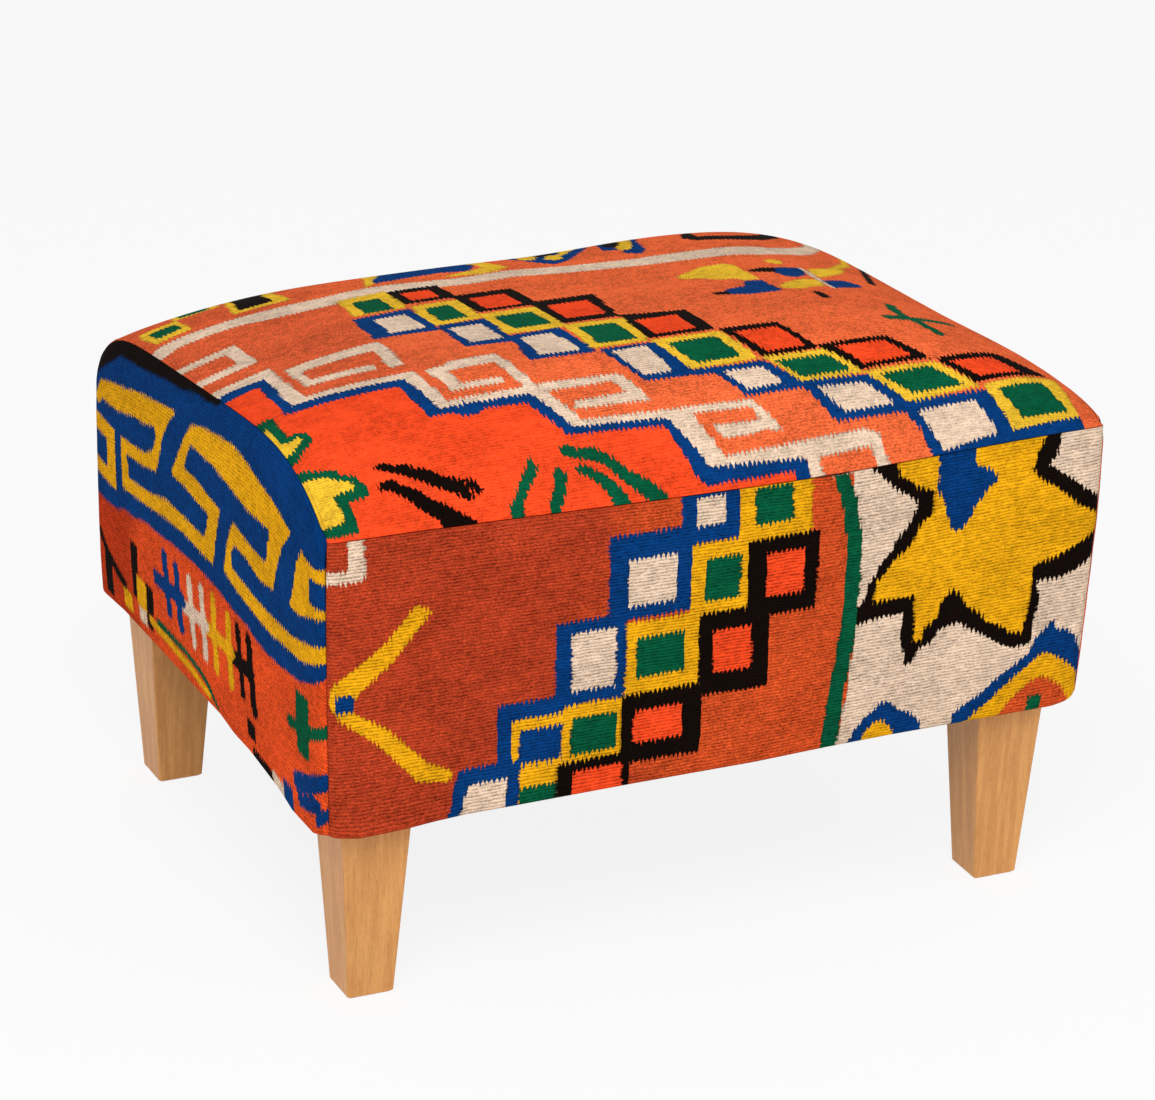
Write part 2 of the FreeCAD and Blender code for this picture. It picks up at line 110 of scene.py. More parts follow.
class KilimDyes(bpy.types.PropertyGroup):
    """Dyes of the kilim, and the size of its ribs and the teeth where two dyes meet."""
    brick_top: colour_of("Top Brick", (0.92, 0.152, 0.045), "Ground of the top panel")
    brick_top_dark: colour_of("Top Brick, Dark", (0.77, 0.120, 0.039), "Darker bands of the top panel")
    brick_front: colour_of("Front Brick", (0.70, 0.086, 0.019), "Ground of the front and back panels")
    brick_front_dark: colour_of("Front Brick, Dark", (0.50, 0.053, 0.017), "Darker bands of those panels")
    brick_end: colour_of("End Brick", (0.87, 0.088, 0.016), "Ground of the end panels")
    brick_end_dark: colour_of("End Brick, Dark", (0.57, 0.045, 0.008), "Darker ground of the end panels")
    vermilion: colour_of("Vermilion", (0.99, 0.076, 0.017), "Bright red fields")
    cream: colour_of("Cream", (0.85, 0.63, 0.46), "Undyed wool")
    black: colour_of("Black", (0.006, 0.003, 0.002), "Dark outlines")
    yellow: colour_of("Yellow", (0.92, 0.43, 0.007), "Golden yellow")
    yellow_top: colour_of("Top Yellow", (0.94, 0.56, 0.035), "Paler yellow of the top panel")
    green: colour_of("Green", (0.002, 0.105, 0.044), "Deep green")
    blue: colour_of("Blue", (0.002, 0.046, 0.200), "Royal blue")
    rib_pitch: number_of("Rib Pitch", 2.5, "Millimetres between the ribs")
    tooth_pitch: number_of("Tooth Pitch", 3.8, "Millimetres between the teeth")
    tooth_depth: number_of("Tooth Depth", 3.9, "Millimetres that the longest teeth reach")


class StoolMaterials(bpy.types.PropertyGroup):
    """Colours of the wood, cloths and fittings."""
    leg_light: colour_of("Leg Wood, Light", (0.81, 0.385, 0.110), "Pale grain of the legs")
    leg_dark: colour_of("Leg Wood, Dark", (0.61, 0.25, 0.059), "Dark grain of the legs")
    frame_light: colour_of("Frame Wood, Light", (0.72, 0.52, 0.31), "Pale grain of the hidden frame")
    frame_dark: colour_of("Frame Wood, Dark", (0.50, 0.30, 0.14), "Dark grain of the hidden frame")
    foam: colour_of("Foam", (0.86, 0.78, 0.50), "Foam pad")
    wadding: colour_of("Wadding", (0.88, 0.88, 0.86), "Polyester wadding")
    jute: colour_of("Jute", (0.46, 0.31, 0.16), "Webbing")
    hessian: colour_of("Hessian", (0.50, 0.36, 0.20), "Hessian over the webbing")
    dust_cloth: colour_of("Dust Cloth", (0.022, 0.022, 0.024), "Cloth under the seat")
    zinc: colour_of("Zinc", (0.62, 0.62, 0.60), "Plated fittings")
    floor: colour_of("Floor", (0.95, 0.95, 0.95), "Studio floor")


class Value:
    """A shader socket whose arithmetic adds Math nodes."""

    def __init__(self, tree, socket):
        self.tree = tree
        self.socket = socket

    def math(self, operation, *others):
        return self.tree.node("ShaderNodeMath", {"operation": operation}, dict(enumerate((self,) + others)))

    def __add__(self, other):
        return self.math("ADD", other)

    def __radd__(self, other):
        return self.math("ADD", other)

    def __sub__(self, other):
        return self.math("SUBTRACT", other)

    def __rsub__(self, other):
        return self.tree.node("ShaderNodeMath", {"operation": "SUBTRACT"}, {0: other, 1: self})

    def __mul__(self, other):
        return self.math("MULTIPLY", other)

    def __truediv__(self, other):
        return self.math("DIVIDE", other)

    def sine(self):
        return self.math("SINE")

    def floor(self):
        return self.math("FLOOR")

    def size(self):
        return self.math("ABSOLUTE")

    def most(self, other):
        return self.math("MAXIMUM", other)

    def smooth(self, low, high, start=0.0, end=1.0):
        return self.tree.node("ShaderNodeMapRange", {"interpolation_type": "SMOOTHSTEP"},
                              {0: self, 1: low, 2: high, 3: start, 4: end})


class Tree:
    """A new material and the nodes that make its surface."""

    def __init__(self, name, world=None):
        self.material = world or bpy.data.materials.new(name)
        self.material.use_nodes = True
        self.nodes = self.material.node_tree.nodes
        self.links = self.material.node_tree.links
        self.nodes.clear()

    def node(self, kind, settings, inputs, output=0):
        """A node with its settings, then the values or links of its sockets."""
        made = self.nodes.new(kind)
        for key, setting in settings.items():
            setattr(made, key, setting)
        for key, value in inputs.items():
            if isinstance(value, Value):
                self.links.new(value.socket, made.inputs[key])
            else:
                made.inputs[key].default_value = value
        return Value(self, made.outputs[output])

    def attribute(self, name):
        return self.node("ShaderNodeAttribute", {"attribute_name": name}, {}, "Vector")

    def place(self):
        """The point's place on the object, in millimetres."""
        metres = self.node("ShaderNodeTexCoord", {}, {}, "Object")
        return self.parts(self.scaled(metres, 1 / MM))

    def parts(self, vector):
        split = self.nodes.new("ShaderNodeSeparateXYZ")
        self.links.new(vector.socket, split.inputs[0])
        return [Value(self, output) for output in split.outputs]

    def vector(self, x, y, z):
        return self.node("ShaderNodeCombineXYZ", {}, {0: x, 1: y, 2: z})

    def noise(self, x, y, z, detail=2.0, roughness=0.5):
        inputs = {"Vector": self.vector(x, y, z), "Scale": 1.0, "Detail": detail, "Roughness": roughness}
        return self.node("ShaderNodeTexNoise", {}, inputs)

    def chance(self, number):
        return self.node("ShaderNodeTexWhiteNoise", {"noise_dimensions": "1D"}, {"W": number})

    def dot(self, first, second):
        return self.node("ShaderNodeVectorMath", {"operation": "DOT_PRODUCT"}, {0: first, 1: second}, "Value")

    def mix(self, share, first, second):
        return self.node("ShaderNodeMix", {"data_type": "RGBA"}, {0: share, 6: first, 7: second}, 2)

    def scaled(self, colour, factor):
        return self.node("ShaderNodeVectorMath", {"operation": "SCALE"}, {0: colour, "Scale": factor})

    def bump(self, height, distance, strength=1.0):
        return self.node("ShaderNodeBump", {}, {"Height": height, "Distance": distance, "Strength": strength})

    def surface(self, **inputs):
        """The principled shader and the material's output."""
        sockets = {key.replace("_", " "): value for key, value in inputs.items()}
        self.close(self.node("ShaderNodeBsdfPrincipled", {}, sockets))
        return self.material

    def close(self, shader, kind="ShaderNodeOutputMaterial"):
        output = self.nodes.new(kind)
        self.links.new(shader.socket, output.inputs["Surface"])


def opaque(colour):
    return (colour[0], colour[1], colour[2], 1.0)


# Materials

def kilim_material(name, ground, ground_dark, yellow, rib_shade, abrash_ends):
    """Flat-woven wool: the dyed areas come from the panel's attributes, and ribs and teeth from its weave."""
    dyes = bpy.context.scene.kilim_dyes
    tree = Tree(name)
    # Millimetres along the ribs, across them, and from the nearest seam
    across, along, edge = tree.parts(tree.attribute("weave"))
    # Where two dyes meet: slow drifts of the line, teeth in rows, and single strands
    drift_across = (tree.noise(across / 38, along / 30, 1.3) - 0.5) * 3.0
    drift_along = (tree.noise(across / 46, along / 34, 7.7) - 0.5) * 3.0
    slant = tree.noise(across / 9, along / 15, 3.1) * 4.5
    turn = (across + slant) / dyes.tooth_pitch
    count = turn.floor()
    spike = 1 - (turn - count - 0.5).size() * 2
    reach = tree.chance(count + (along / 34).floor() * 31.7).smooth(0.0, 1.0, 0.3, 1.4) * dyes.tooth_depth
    strand = (tree.noise(across / 0.9, along / 9, 5.5, 1.0) - 0.5) * 1.5
    row = (along / 1.4).floor()
    jog = (tree.chance(row) - 0.5) * 1.1
    step = (count + 0.5 - turn) * dyes.tooth_pitch * 0.6
    shift_along = drift_along + (spike.math("POWER", 1.6) - 0.4) * reach + strand
    shift_across = drift_across + jog + step
    shift = tree.vector(1.0, shift_across, shift_along)

    # The ground's bands of wool from different dye pots, then each dye over it
    dashes = tree.noise(across / 4.2, along / 1.1, 5.9, 2.0, 0.6)
    beads = tree.noise(across / 2.0, along / 1.5, 2.2, 3.0, 0.6)
    bands = tree.noise(across / 160, (along + shift_along) / 22, 4.4, 3.0)
    abrash = bands + across.smooth(*abrash_ends) - 0.5
    colour = tree.mix(abrash.smooth(0.2, 0.8), opaque(ground_dark), opaque(ground))
    colour = tree.scaled(colour, 1 + (beads - 0.5) * 1.1 + (dashes - 0.5) * 0.9)
    fields = [tree.dot(tree.attribute(dye), shift) for dye in DYES]
    nearest = fields[0].size()
    for dye, field in zip(DYES, fields):
        nearest = nearest.math("MINIMUM", field.size())
        shade = yellow if dye == YELLOW else getattr(dyes, dye)
        colour = tree.mix(field.smooth(-0.75, 0.0), colour, opaque(shade))

    # Ribs, wear and stray fibres, with painted shade in the grooves between the ribs, along the seams and in
    # the slits where two dyes meet
    waver = (tree.noise(across / 22, along / 9, 6.1) - 0.5) * 3.0
    rib = ((along + waver) * (2 * math.pi / dyes.rib_pitch)).sine()
    fuzz = tree.noise(across / 0.8, along / 0.6, 8.8, 2.0)
    mottle = tree.noise(across / 8, along / 5.5, 0.7, 4.0, 0.65)
    wear = tree.noise(across / 60, along / 42, 3.9, 2.0)
    # The troughs of the ribs are painted darker: painted shade in the grooves between them
    groove_shade_mask = (0 - rib).smooth(0.1, 0.9) * dashes.smooth(0.30, 0.52)
    dark_dash = dashes.smooth(0.58, 0.72)
    light_dash = (1 - dashes).smooth(0.60, 0.74)
    flecks = beads.smooth(0.62, 0.74)
    bright = (0.89 + mottle.smooth(0.36, 0.64) * 0.26 + wear.smooth(0.35, 0.65) * 0.16 + (fuzz - 0.5) * 0.8
              + (beads - 0.5) * 1.1 - groove_shade_mask * rib_shade - dark_dash * rib_shade * 0.5 + light_dash * 0.20
              - flecks * 0.14)
    # Painted shade: darker in the slits where two dyes meet, and near the seams and in their folds
    slit_shade = nearest.smooth(0.0, 0.8, 0.62, 1.0)
    fold_shade = edge.smooth(-1.5, 1.6, 0.74, 1.0)
    colour = tree.scaled(colour, bright * fold_shade * slit_shade)
    height = rib * 0.3 - dashes * 0.8 + beads * 0.8 + fuzz * 0.3
    normal = tree.bump(height, 0.8 * MM, 0.9)
    rough = 0.86 + mottle * 0.12
    return tree.surface(Base_Color=colour, Roughness=rough, Normal=normal, Specular_IOR_Level=0.03)


def wood_material(name, light, dark, axis, gloss):
    """Straight-grained wood, with its grain along the given axis."""
    tree = Tree(name)
    places = tree.place()
    along = places.pop(axis)
    first, second = places
    sway = tree.noise(first / 60, second / 60, along / 190) * 9
    bands = tree.noise((first + sway) / 5.5, (second + sway) / 5.5, along / 210, 3.0)
    streaks = tree.noise(first / 0.75, second / 0.75, along / 24, 3.0, 0.6)
    pores = tree.noise(first / 0.45, second / 0.45, along / 7.5, 1.0)
    cloud = tree.noise(first / 26, second / 26, along / 70, 2.0)
    share = bands.smooth(0.36, 0.62) * 0.55 + streaks.smooth(0.35, 0.70) * 0.45
    colour = tree.mix(share, opaque(light), opaque(dark))
    dots = pores.smooth(0.62, 0.74)
    colour = tree.scaled(colour, 0.92 + cloud * 0.22 - dots * 0.22)
    normal = tree.bump(streaks * 0.5 - dots * 0.7, 0.12 * MM, 0.6)
    rough = gloss + streaks * 0.16 + dots * 0.1
    return tree.surface(Base_Color=colour, Roughness=rough, Normal=normal)


def weave_material(name, colour, thread, gap_shade_strength):
    """Plain-woven cloth with crossing threads, read from the piece's place, with painted shade in the gaps
    between the threads.
    """
    tree = Tree(name)
    x, y, z = tree.place()
    turn = math.pi / thread
    warp = (x * turn + (tree.noise(x / 9, y / 30, 1.0) - 0.5) * 1.6).sine().size()
    weft = (y * turn + (tree.noise(x / 30, y / 9, 2.0) - 0.5) * 1.6).sine().size()
    over = ((x * turn / 2).sine() * (y * turn / 2).sine()).smooth(-0.1, 0.1)
    threads = warp * over + weft * (1 - over)
    slub = tree.noise(x / (thread * 2), y / (thread * 2), z / 4, 3.0)
    # Painted shade darkens the gaps between the threads; the slubs vary the yarn's own tone
    shade = (1 - gap_shade_strength) + threads * gap_shade_strength + (slub - 0.5) * 0.5
    paint = tree.scaled(opaque(colour)[:3], shade)
    normal = tree.bump(threads + slub * 0.6, thread * 0.35 * MM, 0.9)
    return tree.surface(Base_Color=paint, Roughness=0.78 + slub * 0.2, Normal=normal, Specular_IOR_Level=0.2)


def fibre_material(name, colour, cell, depth):
    """Foam, wadding or pressed cloth: fine random cells or fibres."""
    tree = Tree(name)
    x, y, z = tree.place()
    cells = tree.noise(x / cell, y / cell, z / cell, 4.0, 0.65)
    cloud = tree.noise(x / (cell * 30), y / (cell * 30), z / (cell * 30))
    paint = tree.scaled(opaque(colour)[:3], 0.72 + cells * 0.4 + cloud * 0.16)
    normal = tree.bump(cells, depth * MM, 0.8)
    rough = 0.80 + cells * 0.18
    return tree.surface(Base_Color=paint, Roughness=rough, Normal=normal, Specular_IOR_Level=0.2)


def metal_material(name, colour, roughness):
    """Plated or drawn steel with fine scratches and dull spots."""
    tree = Tree(name)
    x, y, z = tree.place()
    cloud = tree.noise(x / 3, y / 3, z / 3, 3.0)
    scratches = tree.noise(x / 0.4, y / 6, z / 6, 2.0)
    paint = tree.scaled(opaque(colour)[:3], 0.82 + cloud * 0.3)
    rough = roughness + cloud * 0.18 + scratches * 0.08
    normal = tree.bump(scratches, 0.02 * MM, 0.5)
    return tree.surface(Base_Color=paint, Metallic=1.0, Roughness=rough, Normal=normal)


# The padded body

# Along each wall, in millimetres: places, and how far the cover's lower edge hangs there
HEMS = {
    FRONT: ((-310, -305, -285, -265, -245, -225, -200, -165, -65, 35, 65, 95, 150, 288, 298, 305, 310),
            (4, 5, 9, 8.5, 7.5, 5.5, 4, 4, 3, 3, 2, 1, 0, 0, -2, -5, -9)),
    LEFT: ((-240, -235, -215, -175, -150, -90), (4, 4, 12, 12, 6, 0)),
    RIGHT: ((-240, -234, -225, -212, -150, 60, 200, 240), (-9, -5, -2, 0, 2, 3, 1, 0)),
    BACK: ((-310, -240, -60, 110, 230, 310), (0, 2, 3, 2, 3, 0)),
}
# Radius of the cover's turn under the frame in millimetres, and where along the left wall it is wider
HEM_TURN = 4.2
LEFT_HEM_TURNS = ((-60, -30, 180, 225), (HEM_TURN, 10.0, 9.5, HEM_TURN))
# Where the front seam sags most, as a share of half the seat, and how far behind the seam the sag fades
SAG_CENTRE = 0.2
SAG_REACH = 60 * MM
# How far from the ends the end seams' roll begins, on the long panels and the top, and down the end walls
ROLL_REACH = 30 * MM
ROLL_HEIGHT = 18 * MM
# The right end's bulge: its top over the floor, where it fades out behind, over what length, its least share
BULGE_TOP = 300 * MM
BULGE_BACK = -30 * MM
BULGE_FADE = 120 * MM
BULGE_SHARE = 0.3
# Distances from a corner or a seam's end over which the folds and the cloth's thickness run out
CORNER_REACH = 14 * MM


class Body:
    """The body's shape in metres, from the sizes. It takes and gives numpy arrays."""

    def __init__(self):
        self.sizes = bpy.context.scene.stool_sizes
        self.half_length = self.sizes.seat_length / 2
        self.half_depth = self.sizes.seat_depth / 2
        self.base = self.sizes.cover_base
        self.widest = self.sizes.seam_height + self.sizes.end_arch_rise
        self.wall = self.sizes.seam_height - self.base
        self.hem_turn = HEM_TURN * MM
        steps = np.linspace(-self.half_depth, self.half_depth, 2001)
        heights = self.crown(np.zeros_like(steps), steps)
        run = np.hypot(np.diff(steps), np.diff(heights))
        self.girth = np.concatenate([[0.0], np.cumsum(run)])
        self.girth_places = steps

    def crown(self, x, y):
        """Height of the top over the floor."""
        sizes = self.sizes
        along = np.clip(x / self.half_length, -1, 1)
        across = np.clip(y / self.half_depth, -1, 1)
        right = np.clip(along, 0, 1)
        front = sizes.front_fullness + sizes.corner_fullness * right ** 8
        power = np.where(across < 0, front, sizes.back_fullness)
        swell = 1 - np.abs(along) ** (sizes.swell + sizes.swell_right * right)
        lift = sizes.corner_lift * right ** 2 * (across + 1) / 2
        arch = sizes.end_arch_rise - sizes.end_arch_lean * along
        rise = arch + (sizes.crown_rise + sizes.crown_lean * along) * swell
        height = sizes.seam_height + rise * (1 - np.abs(across) ** power) - sizes.back_drop * (across + 1) / 2
        share = along - SAG_CENTRE
        reach = np.where(share < 0, 1 + SAG_CENTRE, 1 - SAG_CENTRE)
        sag = sizes.seam_sag * np.cos(np.pi / 2 * share / reach) ** 2
        near = np.clip(1 - (y + self.half_depth) / SAG_REACH, 0, 1) ** 2
        return height - sag * near + lift

    def lean(self, x, y, z):
        """The ends draw in down to the base, and the right end bulges near the front."""
        height = np.clip((z - self.base) / (BULGE_TOP - self.base), 0, 1)
        near = np.clip((BULGE_BACK - y) / BULGE_FADE, 0, 1)
        share = BULGE_SHARE + (1 - BULGE_SHARE) * height * near * near * (3 - 2 * near)
        bulge = self.sizes.end_bulge * share * np.clip(x / self.half_length, 0, 1) ** 3
        drawn = self.sizes.base_draw / self.half_length * (self.widest - z) / (self.widest - self.base)
        return x * (1 - drawn) + bulge

    def hem(self, name, place):
        """How far the lower edge hangs below the base, and the radius of its turn, along one wall."""
        hang = np.interp(place, *HEMS[name])
        turn = np.full_like(place, HEM_TURN)
        if name == LEFT:
            turn = np.interp(place, *LEFT_HEM_TURNS)
        return hang * MM, turn * MM

    def rolled(self, x, share):
        """Draws the places near the ends in towards the seams."""
        near = np.clip(1 - (self.half_length - np.abs(x)) / ROLL_REACH, 0, 1) ** 2
        return x - np.sign(x) * self.sizes.end_roll * near * share

    def top(self, x, y):
        z = self.crown(x, y)
        return np.stack([self.lean(self.rolled(x, 1), y, z), y, z], axis=-1)

    def long_wall(self, side, x, share):
        y = np.full_like(x, side * self.half_depth)
        z = self.base + share * (self.crown(x, y) - self.base)
        return np.stack([self.lean(self.rolled(x, share ** 8), y, z), y, z], axis=-1)

    def end_wall(self, side, y, share):
        top = self.crown(np.full_like(y, side * self.half_length), y)
        z = self.base + share * (top - self.base)
        near = np.clip(1 - (top - z) / ROLL_HEIGHT, 0, 1) ** 2
        x = side * (self.half_length - self.sizes.end_roll * near)
        return np.stack([self.lean(x, y, z), y, z], axis=-1)

    def top_normal(self, x, y):
        step = 0.0005
        x = np.clip(x, -self.half_length + step, self.half_length - step)
        y = np.clip(y, -self.half_depth + step, self.half_depth - step)
        slope_x = (self.crown(x + step, y) - self.crown(x - step, y)) / (2 * step)
        slope_y = (self.crown(x, y + step) - self.crown(x, y - step)) / (2 * step)
        return unit(np.stack([-slope_x, -slope_y, np.ones_like(slope_x)], axis=-1))

    def long_fold(self, side, x):
        """The way into the seam along the front or the back."""
        outward = self.top_normal(x, np.full_like(x, side * self.half_depth)) + np.array([0, side, 0])
        return -unit(outward)

    def end_fold(self, side, y):
        outward = self.top_normal(np.full_like(y, side * self.half_length), y) + np.array([side, 0, 0])
        return -unit(outward)

    def round_corners(self, points, inset=0.0):
        """Turns the square corners, seen from above, into round ones."""
        x, y = points[..., 0], points[..., 1]
        radius = np.where(y < 0, self.sizes.front_corner, self.sizes.back_corner)
        reach = np.abs(self.lean(np.sign(x) * self.half_length, y, points[..., 2])) - inset
        depth = self.half_depth - inset
        over_x = np.abs(x) - (reach - radius)
        over_y = np.abs(y) - (depth - radius)
        corner = (over_x > 0) & (over_y > 0)
        size = np.hypot(over_x, over_y)
        share = np.where(corner, np.maximum(over_x, over_y) / np.maximum(size, 1e-9), 1.0)
        new_x = np.sign(x) * (reach - radius + over_x * share)
        new_y = np.sign(y) * (depth - radius + over_y * share)
        return np.stack([np.where(corner, new_x, x), np.where(corner, new_y, y), points[..., 2]], axis=-1)

    def inner(self, places, inset, foot):
        """Places in a cube from -1 to 1, moved to fill the body above the foot and inside its faces."""
        x = places[:, 0] * self.half_length
        y = np.interp((places[:, 1] + 1) / 2 * self.girth[-1], self.girth, self.girth_places)
        z = foot + (places[:, 2] + 1) / 2 * (self.crown(x, y) - inset - foot)
        x = self.lean(x, y, z) * (1 - inset / self.half_length)
        y = y * (1 - inset / self.half_depth)
        return self.round_corners(np.stack([x, y, z], axis=-1), inset)


def unit(vectors):
    return vectors / np.linalg.norm(vectors, axis=-1, keepdims=True)


def seam_rows(roll, allowance):
    """Places and depths of the cloth's rows where it turns into a seam, from its hidden end outward."""
    gap = 0.15 * MM
    rows = [(gap, roll + allowance), (gap, roll + allowance * 0.4)]
    for turn in (90, 60, 30):
        angle = math.radians(turn)
        rows.append((gap + roll * (1 - math.sin(angle)), roll * (1 - math.cos(angle))))
    return rows


def flange_rows(roll, width):
    """Rows of the cloth where it turns under the frame."""
    rows = [(0.0, width), (0.0, width * 0.6), (0.0, width * 0.3)]
    for turn in (90, 72, 54, 36, 18):
        angle = math.radians(turn)
        rows.append((roll * (1 - math.sin(angle)), roll * (1 - math.cos(angle))))
    return rows


def spread(length, step, low, high):
    """Rows across a panel: their places, and their depths at the low and the high edge."""
    start = low[-1][0] + step / 2
    end = length - high[-1][0] - step / 2
    count = max(2, math.ceil((end - start) / step) + 1)
    flat = list(np.linspace(start, end, count))
    places = [place for place, depth in low] + flat + [length - place for place, depth in reversed(high)]
    none = [0.0] * count
    depth_low = [depth for place, depth in low] + none + [0.0] * len(high)
    depth_high = [0.0] * len(low) + none + [depth for place, depth in reversed(high)]
    return np.array(places), np.array(depth_low), np.array(depth_high)


class Panel:
    """One panel of the cover: a grid of places, its points and its coordinates along the cloth."""

    def __init__(self, body, name, step, sewn):
        sizes = body.sizes
        self.name = name
        self.side = {FRONT: -1, BACK: 1, LEFT: -1, RIGHT: 1, TOP: 0}[name]
        if sewn:
            seam = seam_rows(sizes.seam_roll, sizes.seam_allowance)
            flange = flange_rows(body.hem_turn, sizes.flange_width)
        else:
            seam = [(0.0, 0.0)]
            flange = [(0.0, 0.0)]
        if name in (FRONT, BACK):
            self.columns = spread(sizes.seat_length, step, seam, seam)
            self.rows = spread(body.wall, step, flange, seam)
        elif name in (LEFT, RIGHT):
            self.columns = spread(sizes.seat_depth, step, seam, seam)
            self.rows = spread(body.wall, step, flange, seam)
        else:
            self.columns = spread(sizes.seat_length, step, seam, seam)
            self.rows = spread(body.girth[-1], step, seam, seam)
        self.u, self.v = np.meshgrid(self.columns[0], self.rows[0])
        self.u_low, self.v_low = np.meshgrid(self.columns[1], self.rows[1])
        self.u_high, self.v_high = np.meshgrid(self.columns[2], self.rows[2])
        self.base_points(body)

    def base_points(self, body):
        if self.name == TOP:
            x = self.u - body.half_length
            y = np.interp(self.v, body.girth, body.girth_places)
            self.points = body.top(x, y)
            self.flat = np.stack([x, y], axis=-1)
        elif self.name in (FRONT, BACK):
            x = self.u - body.half_length
            self.points = body.long_wall(self.side, x, self.v / body.wall)
            self.flat = np.stack([x, self.points[..., 2]], axis=-1)
        else:
            y = self.u - body.half_depth
            self.points = body.end_wall(self.side, y, self.v / body.wall)
            self.flat = np.stack([y, self.points[..., 2]], axis=-1)

    def fold_in(self, body):
        """Moves the edges' rows into the seams, whose folds run out at the corners, and under the frame."""
        x, y = self.points[..., 0], self.points[..., 1]
        from_top = np.clip((self.rows[0][-1] - self.v) / CORNER_REACH, 0.1, 1)
        from_foot = np.clip(self.v / CORNER_REACH, 0.1, 1)
        from_ends = np.clip(np.minimum(self.u, self.columns[0][-1] - self.u) / CORNER_REACH, 0.1, 1)
        if self.name == TOP:
            fade = np.minimum(from_top, from_foot)
            folds = [(self.u_low * fade, body.end_fold(-1, y)),
                     (self.u_high * fade, body.end_fold(1, y)),
                     (self.v_low * from_ends, body.long_fold(-1, x)),
                     (self.v_high * from_ends, body.long_fold(1, x))]
        else:
            if self.name in (FRONT, BACK):
                low = np.array([1.0, -self.side, 0.0]) / math.sqrt(2)
                high = np.array([-1.0, -self.side, 0.0]) / math.sqrt(2)
                seam = body.long_fold(self.side, x)
            else:
                low = np.array([-self.side, 1.0, 0.0]) / math.sqrt(2)
                high = np.array([-self.side, -1.0, 0.0]) / math.sqrt(2)
                seam = body.end_fold(self.side, y)
            folds = [(self.u_low * from_top, low), (self.u_high * from_top, high),
                     (self.v_high * from_ends, seam)]
        for depth, way in folds:
            self.points = self.points + depth[..., None] * way
        if self.name != TOP:
            self.turn_under(body)

    def turn_under(self, body):
        """Hangs the lower edge, turns it round the frame's foot and mitres what lies under the frame."""
        place = 0 if self.name in (FRONT, BACK) else 1
        other = 1 - place
        hang, radius = body.hem(self.name, self.flat[..., 0] / MM)
        lift = np.clip(radius - self.v, 0, None)
        turned = radius - np.sqrt(np.clip(radius ** 2 - lift ** 2, 0, None))
        flat = np.clip(self.v_low - body.hem_turn, 0, None)
        depth = turned + np.where(self.v > 0, 0, flat)
        rows = np.clip(1 - self.v / (55 * MM), 0, 1) ** 2
        hanging = hang * rows * np.clip(1 - depth / (15 * MM), 0, 1)
        half = (body.half_length, body.half_depth)[place]
        x_or_y = self.points[..., place] * (1 - np.clip(depth, 0, None) / half)
        self.points = self.points.copy()
        self.points[..., place] = x_or_y
        self.points[..., other] = self.points[..., other] - self.side * depth
        self.points[..., 2] = self.points[..., 2] - hanging

    def corner_shares(self):
        """From nought at the panel's corners to one a little way from them."""
        to_end = np.minimum(self.u, self.columns[0][-1] - self.u)
        to_edge = np.minimum(self.v, self.rows[0][-1] - self.v)
        return np.clip(np.hypot(to_end, to_edge) / CORNER_REACH, 0, 1)

    def weave(self):
        """Places along the cloth in millimetres, and the distance from the seams."""
        last_u = self.columns[0][-1]
        last_v = self.rows[0][-1]
        across = (self.u - self.u_low + self.u_high - last_u / 2) / MM
        along = (self.v - self.v_low + self.v_high) / MM
        nearest = np.minimum(np.minimum(self.u, last_u - self.u), last_v - self.v)
        if self.name == TOP:
            nearest = np.minimum(nearest, self.v)
        depth = self.u_low + self.u_high + self.v_high + (self.v_low if self.name == TOP else 0)
        return np.stack([across, along, np.clip(nearest / MM, 0, 30) - depth / MM], axis=-1)

    def drawing_places(self, body):
        """Each point's place on the panel's drawing in millimetres, and how fast it grows along the cloth."""
        folded = np.stack([self.u_high - self.u_low, self.v_high - self.v_low], axis=-1)
        if self.name == TOP:
            climb = np.interp(self.v, body.girth, np.gradient(body.girth_places, body.girth))
        else:
            climb = np.ones_like(self.v)
        return (self.flat + folded) / MM, climb


# The kilim's drawing, as outlines and lines in millimetres. On the top they are from the middle, along and
# across the seat. On the other panels they are along the panel from its middle, and over the floor.


def block(x0, x1, y0, y1):
    return [(x0, y0), (x1, y0), (x1, y1), (x0, y1)]


def rings(outer_dye, inner_dye, pairs):
    """Nested blocks of two dyes."""
    return [entry for outer, inner in pairs for entry in ((outer_dye, outer), (inner_dye, inner))]


